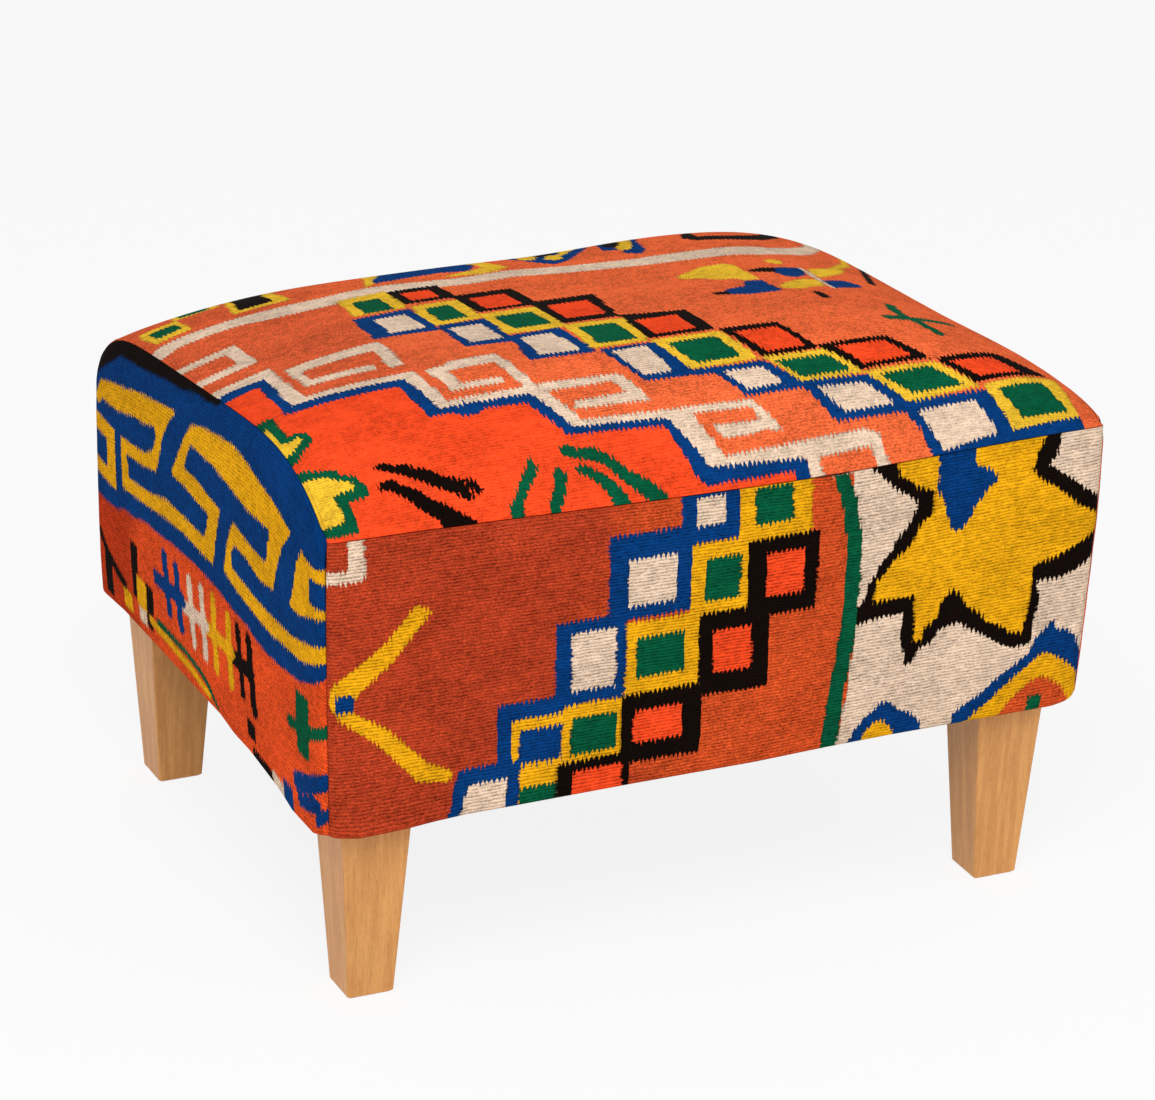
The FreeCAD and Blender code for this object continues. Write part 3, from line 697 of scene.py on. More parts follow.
TOP_CHAINS = rings(BLUE, CREAM, [
    ([(-174, 34), (-126, 38), (-130, -29), (-180, -24)], [(-160, 26), (-134, 26), (-135, -17), (-165, -17)]),
    ([(-128, -17), (-89, -17), (-96, -84), (-132, -81)], [(-124, -28), (-98, -28), (-99, -73), (-126, -72)]),
    ([(-96, -70), (-53, -67), (-50, -126), (-102, -126)], [(-89, -78), (-62, -76), (-58, -121), (-92, -120)]),
    ([(-47, -124), (0, -124), (10, -170), (-30, -169)], [(-40, -129), (-11, -127), (-3, -163), (-28, -163)]),
    ([(8, -165), (66, -166), (85, -190), (86, -194), (39, -194), (24, -171), (8, -171)],
     [(29, -170), (62, -171), (72, -189), (42, -190)]),
    ([(83, -190), (138, -190), (166, -214), (166, -219), (158, -217), (100, -217), (85, -193)],
     [(94, -195), (134, -195), (151, -212), (109, -213)]),
    ([(158, -212), (226, -208), (234, -233), (290, -231), (288, -244), (170, -244), (165, -228), (155, -217)],
     [(165, -217), (213, -214), (224, -235), (178, -239)]),
]) + rings(YELLOW, GREEN, [
    ([(-165, 87), (-124, 92), (-126, 42), (-169, 42)], [(-157, 76), (-136, 76), (-136, 44), (-159, 44)]),
    ([(-124, 42), (-85, 42), (-90, -14), (-129, -16)], [(-117, 32), (-98, 32), (-99, -5), (-119, -6)]),
    ([(-89, -5), (-42, -5), (-45, -67), (-93, -65)], [(-81, -16), (-51, -17), (-53, -54), (-82, -54)]),
    ([(-47, -62), (0, -65), (-5, -120), (-51, -120)], [(-39, -73), (-11, -73), (-12, -113), (-42, -113)]),
    ([(-5, -120), (51, -120), (64, -163), (9, -164)], [(6, -129), (44, -128), (53, -157), (16, -158)]),
    ([(67, -162), (119, -162), (138, -188), (85, -190)], [(74, -168), (115, -168), (128, -185), (88, -186)]),
    ([(137, -187), (197, -183), (222, -205), (160, -212)],
     [(148, -191), (190, -187), (210, -203), (167, -206)]),
    ([(225, -204), (292, -187), (291, -231), (235, -235)],
     [(236, -207), (276, -198), (283, -225), (246, -228)]),
]) + rings(BLACK, VERMILION, [
    (block(-125, -83, 50, 89), block(-117, -93, 57, 80)),
    (block(-87, -37, 1, 54), block(-77, -47, 7, 42)),
    ([(-42, 9), (11, 9), (0, -59), (-46, -58)], [(-35, -5), (0, -5), (-5, -48), (-37, -47)]),
    ([(1, -56), (52, -65), (50, -115), (-3, -116)], [(6, -73), (40, -73), (40, -109), (5, -110)]),
    ([(52, -116), (99, -118), (113, -160), (67, -161)], [(61, -125), (96, -125), (107, -156), (73, -157)]),
    ([(113, -157), (172, -153), (194, -179), (135, -185)],
     [(127, -160), (168, -158), (182, -177), (140, -181)]),
    ([(198, -180), (256, -165), (288, -185), (220, -202)],
     [(208, -182), (248, -173), (266, -187), (226, -197)]),
])

FIELD_EDGE = [(-284, -46), (-280, -47), (-286, -112), (-281, -115), (-205, -127), (-199, -170), (-181, -171),
              (-175, -176), (-163, -176), (-158, -172), (-126, -174), (-107, -202), (-32, -206), (-20, -232),
              (-12, -237), (58, -236)]

TOP_MOTIFS = [
    (VERMILION, [(-312, -47)] + FIELD_EDGE + [(60, -260), (-330, -260), (-330, -47)]),
    (BLUE, [(-330, -49)] + FIELD_EDGE + [(63, -260), (74, -260), (68, -230), (0, -229), (-17, -200),
                                         (-97, -196), (-115, -163), (-185, -162), (-192, -112), (-270, -102),
                                         (-266, -30), (-330, -30)]),
    (CREAM, [(-330, -20), (-262, -19), (-264, -98), (-186, -108), (-181, -158), (-112, -158), (-92, -194),
             (-10, -197), (5, -226), (120, -223), (131, -226), (137, -260), (127, -260), (122, -231),
             (79, -232), (82, -260), (73, -260), (70, -232), (-8, -230), (-28, -202), (-101, -198),
             (-120, -166), (-189, -165), (-197, -118), (-200, -117), (-277, -104), (-272, -36), (-296, -33),
             (-330, -36)]),
    (CREAM, [(-330, 53), (-260, 53), (-262, 2), (-330, 0), (-330, 12), (-273, 14), (-273, 41), (-330, 41)]),
    (CREAM, [(-255, -35), (-181, -32), (-180, -40), (-185, -92), (-196, -92), (-192, -50), (-248, -49),
             (-249, -70), (-205, -77), (-204, -88), (-256, -81)]),
    (CREAM, [(-178, -111), (-161, -110), (-158, -105), (-121, -105), (-111, -160), (-120, -160), (-127, -120),
             (-165, -120), (-163, -141), (-132, -142), (-131, -149), (-172, -148)]),
    (CREAM, [(-110, -157), (-46, -158), (-34, -188), (-40, -187), (-92, -185), (-91, -179), (-49, -178),
             (-55, -165), (-107, -166)]),
    (CREAM, [(-12, -196), (41, -197), (57, -217), (50, -217), (45, -215), (32, -217), (10, -217), (4, -209),
             (12, -210), (43, -210), (38, -201), (-8, -201)]),
    (GREEN, [(-330, -109), (-297, -109), (-297, -146), (-290, -144), (-284, -149), (-282, -157), (-286, -163),
             (-297, -170), (-303, -176), (-330, -180)]),
    (YELLOW, [(-309, -122), (-305, -119), (-304, -150), (-296, -152), (-290, -149), (-288, -155),
              (-295, -161), (-302, -165), (-311, -168), (-311, -130)]),
    (GREEN, [(-330, -187), (-303, -187), (-297, -190), (-281, -195), (-279, -200), (-271, -202), (-266, -209),
             (-265, -217), (-282, -219), (-279, -236), (-330, -238)]),
    (YELLOW, [(-330, -194), (-299, -196), (-291, -197), (-283, -202), (-274, -206), (-272, -211),
              (-290, -213), (-287, -230), (-297, -231), (-330, -234)]),
    (BLACK, [(-254, -200), (-246, -199), (-240, -203), (-231, -204), (-227, -208), (-220, -209), (-208, -216),
             (-199, -218), (-190, -229), (-194, -230), (-203, -225), (-218, -219), (-230, -213), (-242, -207),
             (-251, -203)]),
    (BLACK, [(-195, -219), (-188, -220), (-182, -226), (-186, -228), (-193, -223)]),
    (BLACK, [(-256, -212), (-245, -211), (-240, -216), (-230, -220), (-222, -226), (-212, -230), (-207, -233),
             (-193, -239), (-190, -255), (-216, -255), (-216, -241), (-220, -236), (-231, -230), (-240, -223),
             (-249, -217), (-256, -216)]),
    (GREEN, [(-142, -212), (-137, -219), (-148, -228), (-156, -236), (-160, -255), (-168, -255), (-166, -236),
             (-158, -230), (-152, -223), (-145, -217)]),
    (GREEN, [(-123, -219), (-117, -224), (-121, -232), (-127, -238), (-131, -255), (-140, -255), (-135, -237),
             (-129, -229), (-126, -222)]),
    (GREEN, [(-117, -210), (-110, -208), (-103, -212), (-92, -212), (-80, -219), (-70, -226), (-58, -231),
             (-44, -239), (-44, -255), (-54, -243), (-66, -236), (-76, -230), (-86, -222), (-97, -218),
             (-107, -216), (-114, -214)]),
    (GREEN, [(-111, -222), (-103, -220), (-97, -223), (-88, -227), (-78, -234), (-72, -241), (-72, -255),
             (-84, -255), (-88, -236), (-96, -229), (-104, -225)]),
    (CREAM, [(-312, 104), (-300, 110), (-280, 112), (-262, 111), (-240, 109), (-225, 107), (-200, 105),
             (-180, 104), (-160, 105), (-150, 108), (-120, 109), (-60, 103), (-16, 106), (20, 99), (38, 95),
             (80, 89), (140, 88), (200, 93), (222, 103), (240, 116), (252, 130), (259, 148), (262, 170),
             (258, 188), (246, 200), (225, 205), (180, 208), (100, 208), (0, 207), (-90, 207), (-180, 212),
             (-250, 222), (-330, 236),
             (-330, 246), (-262, 234), (-250, 228), (-180, 219), (-90, 215), (0, 215), (100, 216), (180, 217),
             (235, 214), (262, 206), (275, 190), (277, 168), (272, 148), (264, 128), (250, 108), (240, 94),
             (222, 80), (200, 72), (178, 64), (160, 66), (120, 66), (80, 68), (40, 73), (20, 77), (-20, 86),
             (-60, 82), (-100, 85), (-130, 88), (-150, 83), (-180, 81), (-200, 81), (-225, 84), (-240, 90),
             (-262, 93), (-290, 93), (-303, 88), (-330, 82), (-330, 104)]),
    (YELLOW, [(-300, 157), (-268, 157), (-267, 128), (-268, 121), (-299, 119), (-301, 140)]),
    (GREEN, [(-293, 148), (-273, 147), (-273, 131), (-293, 129)]),
    (YELLOW, [(-268, 158), (-262, 195), (-252, 203), (-226, 200), (-232, 158)]),
    (GREEN, [(-262, 162), (-256, 195), (-232, 196), (-240, 160)]),
    (YELLOW, [(-234, 120), (-190, 118), (-191, 150), (-186, 175), (-222, 175), (-230, 150)]),
    (BLACK, [(-228, 126), (-200, 126), (-199, 152), (-194, 170), (-220, 170), (-224, 150)]),
    (BLUE, [(-121, 119), (-118, 132), (-107, 145), (-100, 186), (-32, 182), (-28, 154), (-34, 132),
            (-43, 121), (-66, 127), (-91, 124), (-108, 121)]),
    (YELLOW, [(-131, 113), (-124, 115), (-118, 131), (-106, 147), (-99, 186), (-108, 188), (-119, 152),
              (-124, 133)]),
    (YELLOW, [(-70, 112), (-37, 107), (-24, 109), (-11, 117), (-15, 130), (-19, 142), (-12, 188), (-28, 186),
              (-32, 150), (-29, 126), (-43, 120)]),
    (BLUE, [(2, 147), (9, 130), (15, 119), (25, 107), (38, 113), (53, 128), (70, 148), (80, 190), (58, 198),
            (38, 176), (8, 172)]),
    (YELLOW, [(8, 136), (16, 129), (26, 142), (21, 156), (14, 168), (8, 150)]),
    (YELLOW, [(24, 127), (30, 119), (38, 121), (40, 138), (31, 140)]),
    (YELLOW, [(38, 128), (51, 140), (61, 152), (68, 186), (58, 190), (47, 152)]),
    (BLACK, [(21, 136), (37, 141), (48, 150), (54, 184), (42, 182), (29, 154)]),
    (BLUE, [(75, 126), (88, 121), (86, 108), (95, 101), (103, 112), (107, 134), (124, 186), (104, 194),
            (84, 166), (76, 138)]),
    (YELLOW, [(86, 120), (93, 117), (101, 130), (109, 152), (100, 174), (92, 146), (85, 132)]),
    (BLACK, [(78, 138), (87, 130), (95, 140), (102, 170), (92, 172)]),
    (BLACK, [(150, 119), (186, 118), (213, 125), (236, 146), (244, 172), (240, 186), (222, 194), (196, 200),
             (178, 199), (166, 178), (143, 129)]),
    (BRICK, [(158, 133), (186, 134), (204, 140), (220, 150), (233, 172), (228, 183), (196, 192), (184, 190),
             (172, 172), (160, 150)]),
    (YELLOW, [(86, 22), (116, 42), (136, 44), (142, 37), (142, 16), (142, -7), (129, -9), (124, 0), (113, 1),
              (101, 11), (88, 14)]),
    (BLUE, [(127, -11), (140, -12), (140, -29), (140, -48), (131, -48), (115, -49), (100, -43), (91, -34),
            (100, -36), (103, -28), (111, -28), (121, -25)]),
    (BLACK, [(90, -33), (102, -34), (99, -43), (88, -38)]),
    (YELLOW, [(143, -34), (161, -21), (175, -13), (188, -12), (185, -33), (166, -40), (159, -45),
              (147, -42)]),
    (BLUE, [(165, 22), (192, 25), (187, 2), (174, -6), (166, -2), (163, 10)]),
    (BLACK, [(146, 20), (161, 24), (170, 22), (166, 9), (154, 12), (145, 15)]),
    (YELLOW, [(199, 23), (226, 38), (242, 44), (226, 20), (198, -3), (195, 7)]),
    (YELLOW, [(171, 45), (181, 50), (187, 46), (183, 35), (178, 35), (173, 39)]),
    (BLUE, [(193, -14), (214, -7), (223, -18), (219, -26), (190, -38)]),
    (BLACK, [(162, -54), (167, -54), (167, -74), (161, -75)]),
] + TOP_CHAINS

TOP_LINES = [
    (CREAM, 4, [(193, 25), (190, -37)]),
    (GREEN, 8, [(213, -82), (208, -95), (206, -112), (212, -125), (220, -145)]),
    (GREEN, 8, [(190, -121), (210, -119), (246, -112)]),
    (YELLOW, 6, [(222, 30), (262, 80), (285, 130), (293, 170), (297, 215)]),
    (BLACK, 6, [(243, 0), (262, 45), (282, 88), (300, 125), (306, 180)]),
]

FRONT_MOTIFS = [
    (CREAM, [(101, 390), (108, 330), (113, 290), (112, 250), (108, 200), (100, 140), (330, 140), (330, 390)]),
    (CREAM, block(-291, -278, 344, 390)),
    (CREAM, block(-330, -280, 341, 350)),
    (YELLOW, [(-304, 263), (-262, 293), (-240, 317), (-228, 311), (-258, 277), (-285, 255), (-290, 243),
              (-262, 225), (-232, 194), (-212, 185), (-215, 178), (-240, 182), (-270, 215), (-299, 237),
              (-308, 250)]),
    (BLUE, block(-301, -288, 243, 255)),
    (BLUE, block(-177, -114, 172, 229)),
    (YELLOW, block(-167, -118, 178, 216)),
    (BLUE, block(-160, -125, 181, 206)),
    (BLACK, [(120, 390), (120, 366), (127, 361), (134, 354), (139, 348), (148, 343), (156, 336), (156, 331),
             (152, 322), (148, 316), (141, 309), (136, 299), (129, 292), (124, 281), (119, 274), (118, 264),
             (111, 258), (111, 246), (150, 250), (150, 232), (155, 207), (161, 209), (164, 218), (177, 223),
             (179, 230), (186, 233), (198, 235), (204, 230), (214, 224), (223, 218), (235, 210), (245, 206),
             (259, 207), (262, 237), (261, 258), (279, 257), (291, 261), (305, 269), (325, 275), (325, 308),
             (307, 317), (297, 323), (288, 330), (279, 337), (270, 343), (262, 350), (269, 357), (270, 390)]),
    (YELLOW, [(138, 390), (138, 375), (142, 359), (149, 354), (155, 348), (170, 342), (170, 325), (161, 319),
              (158, 314), (155, 306), (149, 300), (139, 292), (133, 283), (126, 277), (126, 262), (160, 262),
              (160, 226), (166, 224), (169, 235), (178, 240), (180, 250), (190, 263), (198, 257), (204, 246),
              (214, 240), (220, 232), (232, 227), (242, 219), (252, 218), (254, 240), (256, 258), (257, 271),
              (273, 274), (288, 280), (307, 291), (325, 296), (325, 298), (307, 302), (297, 309), (288, 314),
              (279, 322), (270, 330), (260, 336), (253, 342), (249, 348), (253, 361), (260, 375),
              (260, 390)]),
    (BLUE, [(174, 390), (174, 354), (172, 345), (174, 339), (178, 336), (180, 326), (184, 314), (187, 309),
            (194, 309), (200, 317), (204, 326), (211, 333), (214, 339), (220, 342), (220, 347), (214, 353),
            (206, 356), (203, 361), (201, 390)]),
    (BLUE, [(198, 140), (201, 159), (214, 168), (223, 173), (231, 181), (242, 187), (251, 193), (260, 199),
            (263, 209), (273, 218), (277, 224), (280, 215), (291, 212), (297, 206), (305, 193), (330, 180),
            (330, 140)]),
    (YELLOW, [(204, 140), (217, 156), (229, 165), (235, 171), (248, 181), (260, 190), (270, 198), (279, 196),
              (288, 190), (297, 184), (305, 174), (307, 162), (330, 150), (330, 140)]),
    (BRICK, [(232, 140), (245, 159), (254, 168), (263, 176), (273, 179), (282, 174), (291, 167), (297, 156),
             (300, 140)]),
    (GREEN, block(263, 274, 148, 162)),
    (BLUE, [(107, 140), (116, 159), (124, 168), (133, 174), (136, 179), (144, 178), (152, 170), (164, 165),
            (173, 156), (176, 140)]),
    (YELLOW, [(121, 140), (124, 156), (133, 164), (138, 165), (146, 159), (152, 148), (154, 140)]),
] + rings(BLUE, CREAM, [
    (block(-34, 17, 331, 390), block(-22, 1, 343, 365)),
    (block(-91, -22, 280, 345), block(-76, -36, 289, 326)),
    (block(-132, -77, 221, 285), block(-119, -84, 230, 276)),
    ([(-216, 140), (-150, 140), (-155, 184), (-208, 184)],
     [(-208, 140), (-171, 140), (-167, 172), (-200, 172)]),
]) + rings(YELLOW, GREEN, [
    (block(12, 71, 320, 390), block(26, 56, 337, 365)),
    (block(-26, 26, 274, 330), block(-13, 14, 284, 317)),
    (block(-77, -17, 221, 277), block(-68, -29, 233, 264)),
    (block(-126, -74, 175, 220), block(-118, -82, 181, 209)),
    (block(-160, -119, 140, 179), block(-158, -130, 140, 162)),
]) + rings(BLACK, VERMILION, [
    (block(20, 76, 266, 326), block(36, 67, 280, 314)),
    (block(-17, 39, 210, 275), block(-5, 26, 226, 260)),
    (block(-79, -14, 167, 221), block(-69, -29, 181, 207)),
    (block(-130, -70, 140, 176), block(-116, -76, 140, 168)),
])

FRONT_LINES = [
    (GREEN, 12, [(94, 390), (94, 366), (101, 342), (107, 311), (107, 280), (106, 256), (102, 218), (97, 187),
                 (95, 140)]),
    (CREAM, 4, [(88, 369), (102, 369)]),
]

END_MOTIFS = [
    (BLUE, [(-260, 275), (-240, 270), (-225, 262), (-200, 254), (-165, 250), (-140, 249), (-115, 251),
            (-100, 255), (-65, 257), (-40, 260), (0, 261), (50, 260), (70, 257), (110, 254), (140, 247),
            (160, 246), (175, 240), (200, 238), (260, 237), (260, 440), (-260, 440)]),
    (BLACK, [(-60, 440), (-48, 412), (-35, 401), (-15, 397), (10, 395), (40, 387), (60, 385), (90, 380),
             (120, 375), (150, 371), (170, 366), (185, 357), (207, 345), (230, 328), (260, 300), (260, 440)]),
    (YELLOW, [(-188, 362), (-152, 373), (-105, 382), (-70, 385), (-40, 381), (-8, 376), (12, 370), (25, 357),
              (36, 340), (54, 315), (25, 316), (0, 313), (-24, 312), (-19, 300), (-14, 291), (35, 292),
              (65, 291), (95, 284), (120, 280), (146, 277), (148, 295), (120, 298), (85, 305), (77, 320),
              (70, 338), (55, 358),
              (42, 368), (75, 363), (105, 358), (130, 354), (150, 348), (185, 341), (212, 334), (226, 316),
              (215, 312), (207, 320), (185, 321), (155, 326), (130, 332), (110, 334), (88, 340), (86, 332),
              (92, 320), (110, 312), (135, 309), (161, 306), (163, 285), (161, 263), (110, 268), (70, 274),
              (30, 277), (-10, 275), (-32, 276), (-40, 302), (-49, 325), (-19, 329), (0, 332), (25, 331),
              (20, 340), (12, 354), (-32, 355), (-70, 351), (-105, 347), (-148, 349), (-140, 321),
              (-115, 322), (-75, 327), (-60, 302), (-54, 280), (-78, 275), (-115, 270), (-145, 267),
              (-175, 269), (-200, 270),
              (-225, 276), (-250, 284), (-250, 297), (-225, 290), (-190, 284), (-155, 283), (-120, 285),
              (-90, 288), (-72, 290), (-70, 300), (-80, 309), (-100, 308), (-128, 302), (-154, 304),
              (-160, 322), (-172, 345)]),
    (YELLOW, [(-260, 356), (-225, 350), (-212, 352), (-205, 356), (-199, 348), (-195, 340), (-190, 322),
              (-183, 304), (-202, 304), (-222, 310), (-260, 318)]),
    (BLUE, block(-260, -219, 321, 340)),
    (YELLOW, block(175, 225, 255, 305)),
    (BLUE, block(195, 225, 268, 290)),
    (GREEN, block(-216, -194, 197, 245)),
    (BLACK, block(-109, -94, 165, 179)),
    (BLACK, block(135, 149, 202, 225)),
    (BLACK, block(101, 120, 180, 202)),
    (BLACK, block(137, 147, 180, 202)),
    (BLACK, block(105, 117, 165, 180)),
    (YELLOW, block(117, 137, 176, 200)),
    (CREAM, block(118, 135, 164, 176)),
    (BLACK, block(195, 210, 158, 192)),
    (YELLOW, block(150, 170, 162, 177)),
    (BLUE, block(-180, -163, 140, 166)),
    (CREAM, block(-163, -140, 140, 160)),
    (BLACK, block(-140, -100, 140, 159)),
]

END_LINES = [
    (GREEN, 9, [(-245, 230), (-215, 219), (-180, 214)]),
    (BLACK, 11, [(-101, 244), (-104, 225), (-109, 191)]),
    (BLACK, 9, [(-80, 245), (-87, 195)]),
    (BLACK, 13, [(-100, 219), (-68, 218)]),
    (YELLOW, 10, [(-61, 245), (-64, 193)]),
    (YELLOW, 10, [(-30, 247), (-35, 193)]),
    (YELLOW, 11, [(-67, 220), (-15, 219)]),
    (CREAM, 10, [(-5, 245), (-12, 195)]),
    (CREAM, 10, [(20, 242), (12, 195)]),
    (CREAM, 11, [(-15, 220), (37, 217)]),
    (BLUE, 11, [(47, 241), (39, 197)]),
    (BLUE, 11, [(72, 242), (64, 200)]),
    (BLUE, 12, [(35, 220), (92, 216)]),
    (GREEN, 5, [(-30, 160), (-15, 171), (0, 176), (35, 179), (92, 179)]),
    (YELLOW, 7, [(-15, 163), (20, 169), (70, 172), (108, 174)]),
    (BLACK, 8, [(165, 180), (185, 186), (205, 194), (220, 205)]),
    (BLUE, 12, [(-245, 191), (-215, 182), (-190, 175)]),
    (BLUE, 9, [(-227, 170), (-195, 165)]),
    (BLUE, 8, [(-245, 168), (-227, 160)]),
    (BLUE, 7, [(-217, 182), (-215, 171)]),
]


def mirrored(motifs, shift):
    """The same outlines, turned left for right and moved along."""
    return [entry[:-1] + ([(shift - u, v) for u, v in entry[-1]],) for entry in motifs]


def nearest_on(points, corners, ends):
    """Distance from each point to the path, and the way from the path to the point."""
    best = np.full(len(points), 1e9)
    away = np.zeros((len(points), 2))
    for start, end in zip(corners, ends):
        along = end - start
        share = np.clip((points - start) @ along / max(along @ along, 1e-9), 0, 1)
        gap = points - start - share[:, None] * along
        size = np.hypot(gap[:, 0], gap[:, 1])
        closer = size < best
        best = np.where(closer, size, best)
        away = np.where(closer[:, None], gap / np.maximum(size, 1e-6)[:, None], away)
    return best, away


def within(points, corners):
    inside = np.zeros(len(points), bool)
    for start, end in zip(corners, np.roll(corners, -1, axis=0)):
        spans = (start[1] > points[:, 1]) != (end[1] > points[:, 1])
        rise = end[1] - start[1] or 1e-9
        crossing = start[0] + (points[:, 1] - start[1]) * (end[0] - start[0]) / rise
        inside ^= spans & (points[:, 0] < crossing)
    return inside


class Drawing:
    """How far inside each dye's areas every point lies, and how that grows along and across the cloth."""

    def __init__(self, places, climb):
        self.places = places
        self.climb = climb
        self.fields = {dye: np.zeros(places.shape[:2] + (3,)) for dye in DYES}
        for field in self.fields.values():
            field[..., 0] = -30

    def near(self, corners, reach):
        low = corners.min(axis=0) - reach
        high = corners.max(axis=0) + reach
        return ((self.places >= low) & (self.places <= high)).all(axis=-1)

    def paint(self, dye, near, inside, slopes):
        """Gives an area to one dye, over what lies there. An area without a dye shows the ground."""
        slopes = np.stack([slopes[:, 0], slopes[:, 1] * self.climb[near]], axis=-1)
        for name, field in self.fields.items():
            sign = 1 if name == dye else -1
            old = field[near]
            fresh = np.concatenate([inside[:, None], slopes], axis=1) * sign
            wins = (fresh[:, 0] * sign > old[:, 0] * sign)[:, None]
            field[near] = np.where(wins, fresh, old)

    def fill(self, dye, outline):
        corners = np.array(outline, float)
        near = self.near(corners, 12)
        if near.any():
            points = self.places[near]
            distance, away = nearest_on(points, corners, np.roll(corners, -1, axis=0))
            sign = np.where(within(points, corners), 1.0, -1.0)
            self.paint(dye, near, distance * sign, away * sign[:, None])

    def line(self, dye, width, path):
        corners = np.array(path, float)
        near = self.near(corners, width / 2 + 12)
        if near.any():
            distance, away = nearest_on(self.places[near], corners[:-1], corners[1:])
            self.paint(dye, near, width / 2 - distance, -away)


# Meshes

def cloth_grid(name, points, flipped):
    """A grid of faces whose points are moved to the given rows and columns."""
    rows, columns = points.shape[:2]
    shape = bmesh.new()
    bmesh.ops.create_grid(shape, x_segments=columns - 1, y_segments=rows - 1, size=1)
    order = []
    for vertex in shape.verts:
        column = round((vertex.co.x + 1) / 2 * (columns - 1))
        row = round((vertex.co.y + 1) / 2 * (rows - 1))
        order.append(row * columns + column)
        vertex.co = points[row, column]
    if flipped:
        bmesh.ops.reverse_faces(shape, faces=shape.faces)
    return placed(name, shape), order


def placed(name, shape):
    """A smooth-shaded object from a bmesh, in the scene and riding on the stool."""
    for face in shape.faces:
        face.smooth = True
    mesh = bpy.data.meshes.new(name)
    shape.to_mesh(mesh)
    shape.free()
    piece = bpy.data.objects.new(name, mesh)
    bpy.context.collection.objects.link(piece)
    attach(piece, "root")
    return piece


def thicken(piece, thickness, offset=-1.0, thin=None):
    """Gives a cloth its thickness, less where the points' shares in thin are low."""
    solid = piece.modifiers.new("Thickness", "SOLIDIFY")
    solid.thickness = thickness
    solid.offset = offset
    solid.use_even_offset = False
    if thin is not None:
        group = piece.vertex_groups.new(name="thickness")
        for level in range(11):
            points = np.flatnonzero(np.round(thin * 10) == level)
            group.add(points.tolist(), level / 10, "REPLACE")
        solid.vertex_group = group.name
        solid.thickness_vertex_group = 0.12


def store(piece, name, values, order):
    """Puts a vector on every point of the piece's mesh."""
    attribute = piece.data.attributes.new(name, "FLOAT_VECTOR", "POINT")
    attribute.data.foreach_set("vector", values.reshape(-1, 3)[order].astype(np.float32).ravel())


def blended(values, columns, rows, u, v):
    """Values of a coarse grid between its columns and rows."""
    column = np.interp(u, columns, np.arange(len(columns)))
    row = np.interp(v, rows, np.arange(len(rows)))
    left = np.clip(column.astype(int), 0, len(columns) - 2)
    low = np.clip(row.astype(int), 0, len(rows) - 2)
    across = (column - left)[..., None]
    up = (row - low)[..., None]
    bottom = values[low, left] * (1 - across) + values[low, left + 1] * across
    top = values[low + 1, left] * (1 - across) + values[low + 1, left + 1] * across
    return bottom * (1 - up) + top * up


def softened(values, passes):
    """Averages each point with its neighbours along and across, and keeps the border."""
    for turn in range(passes):
        values = values.copy()
        values[1:-1] = (values[:-2] + 2 * values[1:-1] + values[2:]) / 4
        values[:, 1:-1] = (values[:, :-2] + 2 * values[:, 1:-1] + values[:, 2:]) / 4
    return values


def grid_area(points):
    """Area of the faces between the points of a grid."""
    first = points[1:, 1:] - points[:-1, :-1]
    second = points[1:, :-1] - points[:-1, 1:]
    return float(np.linalg.norm(np.cross(first, second), axis=-1).sum() / 2)


def pressed_out(body):
    """Presses the sewn panels out, held at their seams, and gives each panel's grid and its movement."""
    shape = bmesh.new()
    panels = {}
    for name in (FRONT, BACK, LEFT, RIGHT, TOP):
        panel = Panel(body, name, 15 * MM, False)
        rows, columns = panel.u.shape
        made = bmesh.ops.create_grid(shape, x_segments=columns - 1, y_segments=rows - 1, size=1)
        places = [(round((vertex.co.y + 1) / 2 * (rows - 1)), round((vertex.co.x + 1) / 2 * (columns - 1)))
                  for vertex in made["verts"]]
        for vertex, place in zip(made["verts"], places):
            vertex.co = panel.points[place]
        if name in (BACK, LEFT):
            faces = {face for vertex in made["verts"] for face in vertex.link_faces}
            bmesh.ops.reverse_faces(shape, faces=list(faces))
        panels[name] = (panel, places)
    piece = placed("pressed_cover", shape)
    held = piece.vertex_groups.new(name="seams")
    start = 0
    for panel, places in panels.values():
        rows, columns = panel.u.shape
        border = [start + index for index, (row, column) in enumerate(places)
                  if row in (0, rows - 1) or column in (0, columns - 1)]
        held.add(border, 1.0, "REPLACE")
        start += len(places)
    cloth = piece.modifiers.new("Cloth", "CLOTH")
    cloth.settings.quality = 6
    cloth.settings.mass = 0.4
    cloth.settings.tension_stiffness = 30
    cloth.settings.compression_stiffness = 30
    cloth.settings.bending_stiffness = 3
    cloth.settings.use_pressure = True
    cloth.settings.uniform_pressure_force = 4
    cloth.settings.vertex_group_mass = held.name
    cloth.settings.effector_weights.gravity = 0
    cloth.collision_settings.use_collision = False
    scene = bpy.context.scene
    for number in range(1, 15):
        scene.frame_set(number)
    evaluated = piece.evaluated_get(bpy.context.evaluated_depsgraph_get())
    after = np.array([vertex.co for vertex in evaluated.data.vertices])
    before = np.array([vertex.co for vertex in piece.data.vertices])
    moves = after - before
    scene.frame_set(1)
    bpy.data.objects.remove(piece)
    found = {}
    start = 0
    for name, (panel, places) in panels.items():
        grid = np.zeros(panel.points.shape)
        for place, move in zip(places, moves[start:start + len(places)]):
            grid[place] = move
        found[name] = (panel, grid)
        start += len(places)
    return found


def front_pleat(x, z):
    """The raised tuck beside the front's green stripe, with a crease under it, in millimetres."""
    side = np.clip((x - 73) / 5, 0, 1) * np.clip((100 - x) / 3, 0, 1)
    tuck = 2.2 * np.clip((z - 286) / 2.5, 0, 1)
    crease = 2.0 * np.exp(-((z - 284.5) / 2.4) ** 2)
    return side * (tuck - crease)


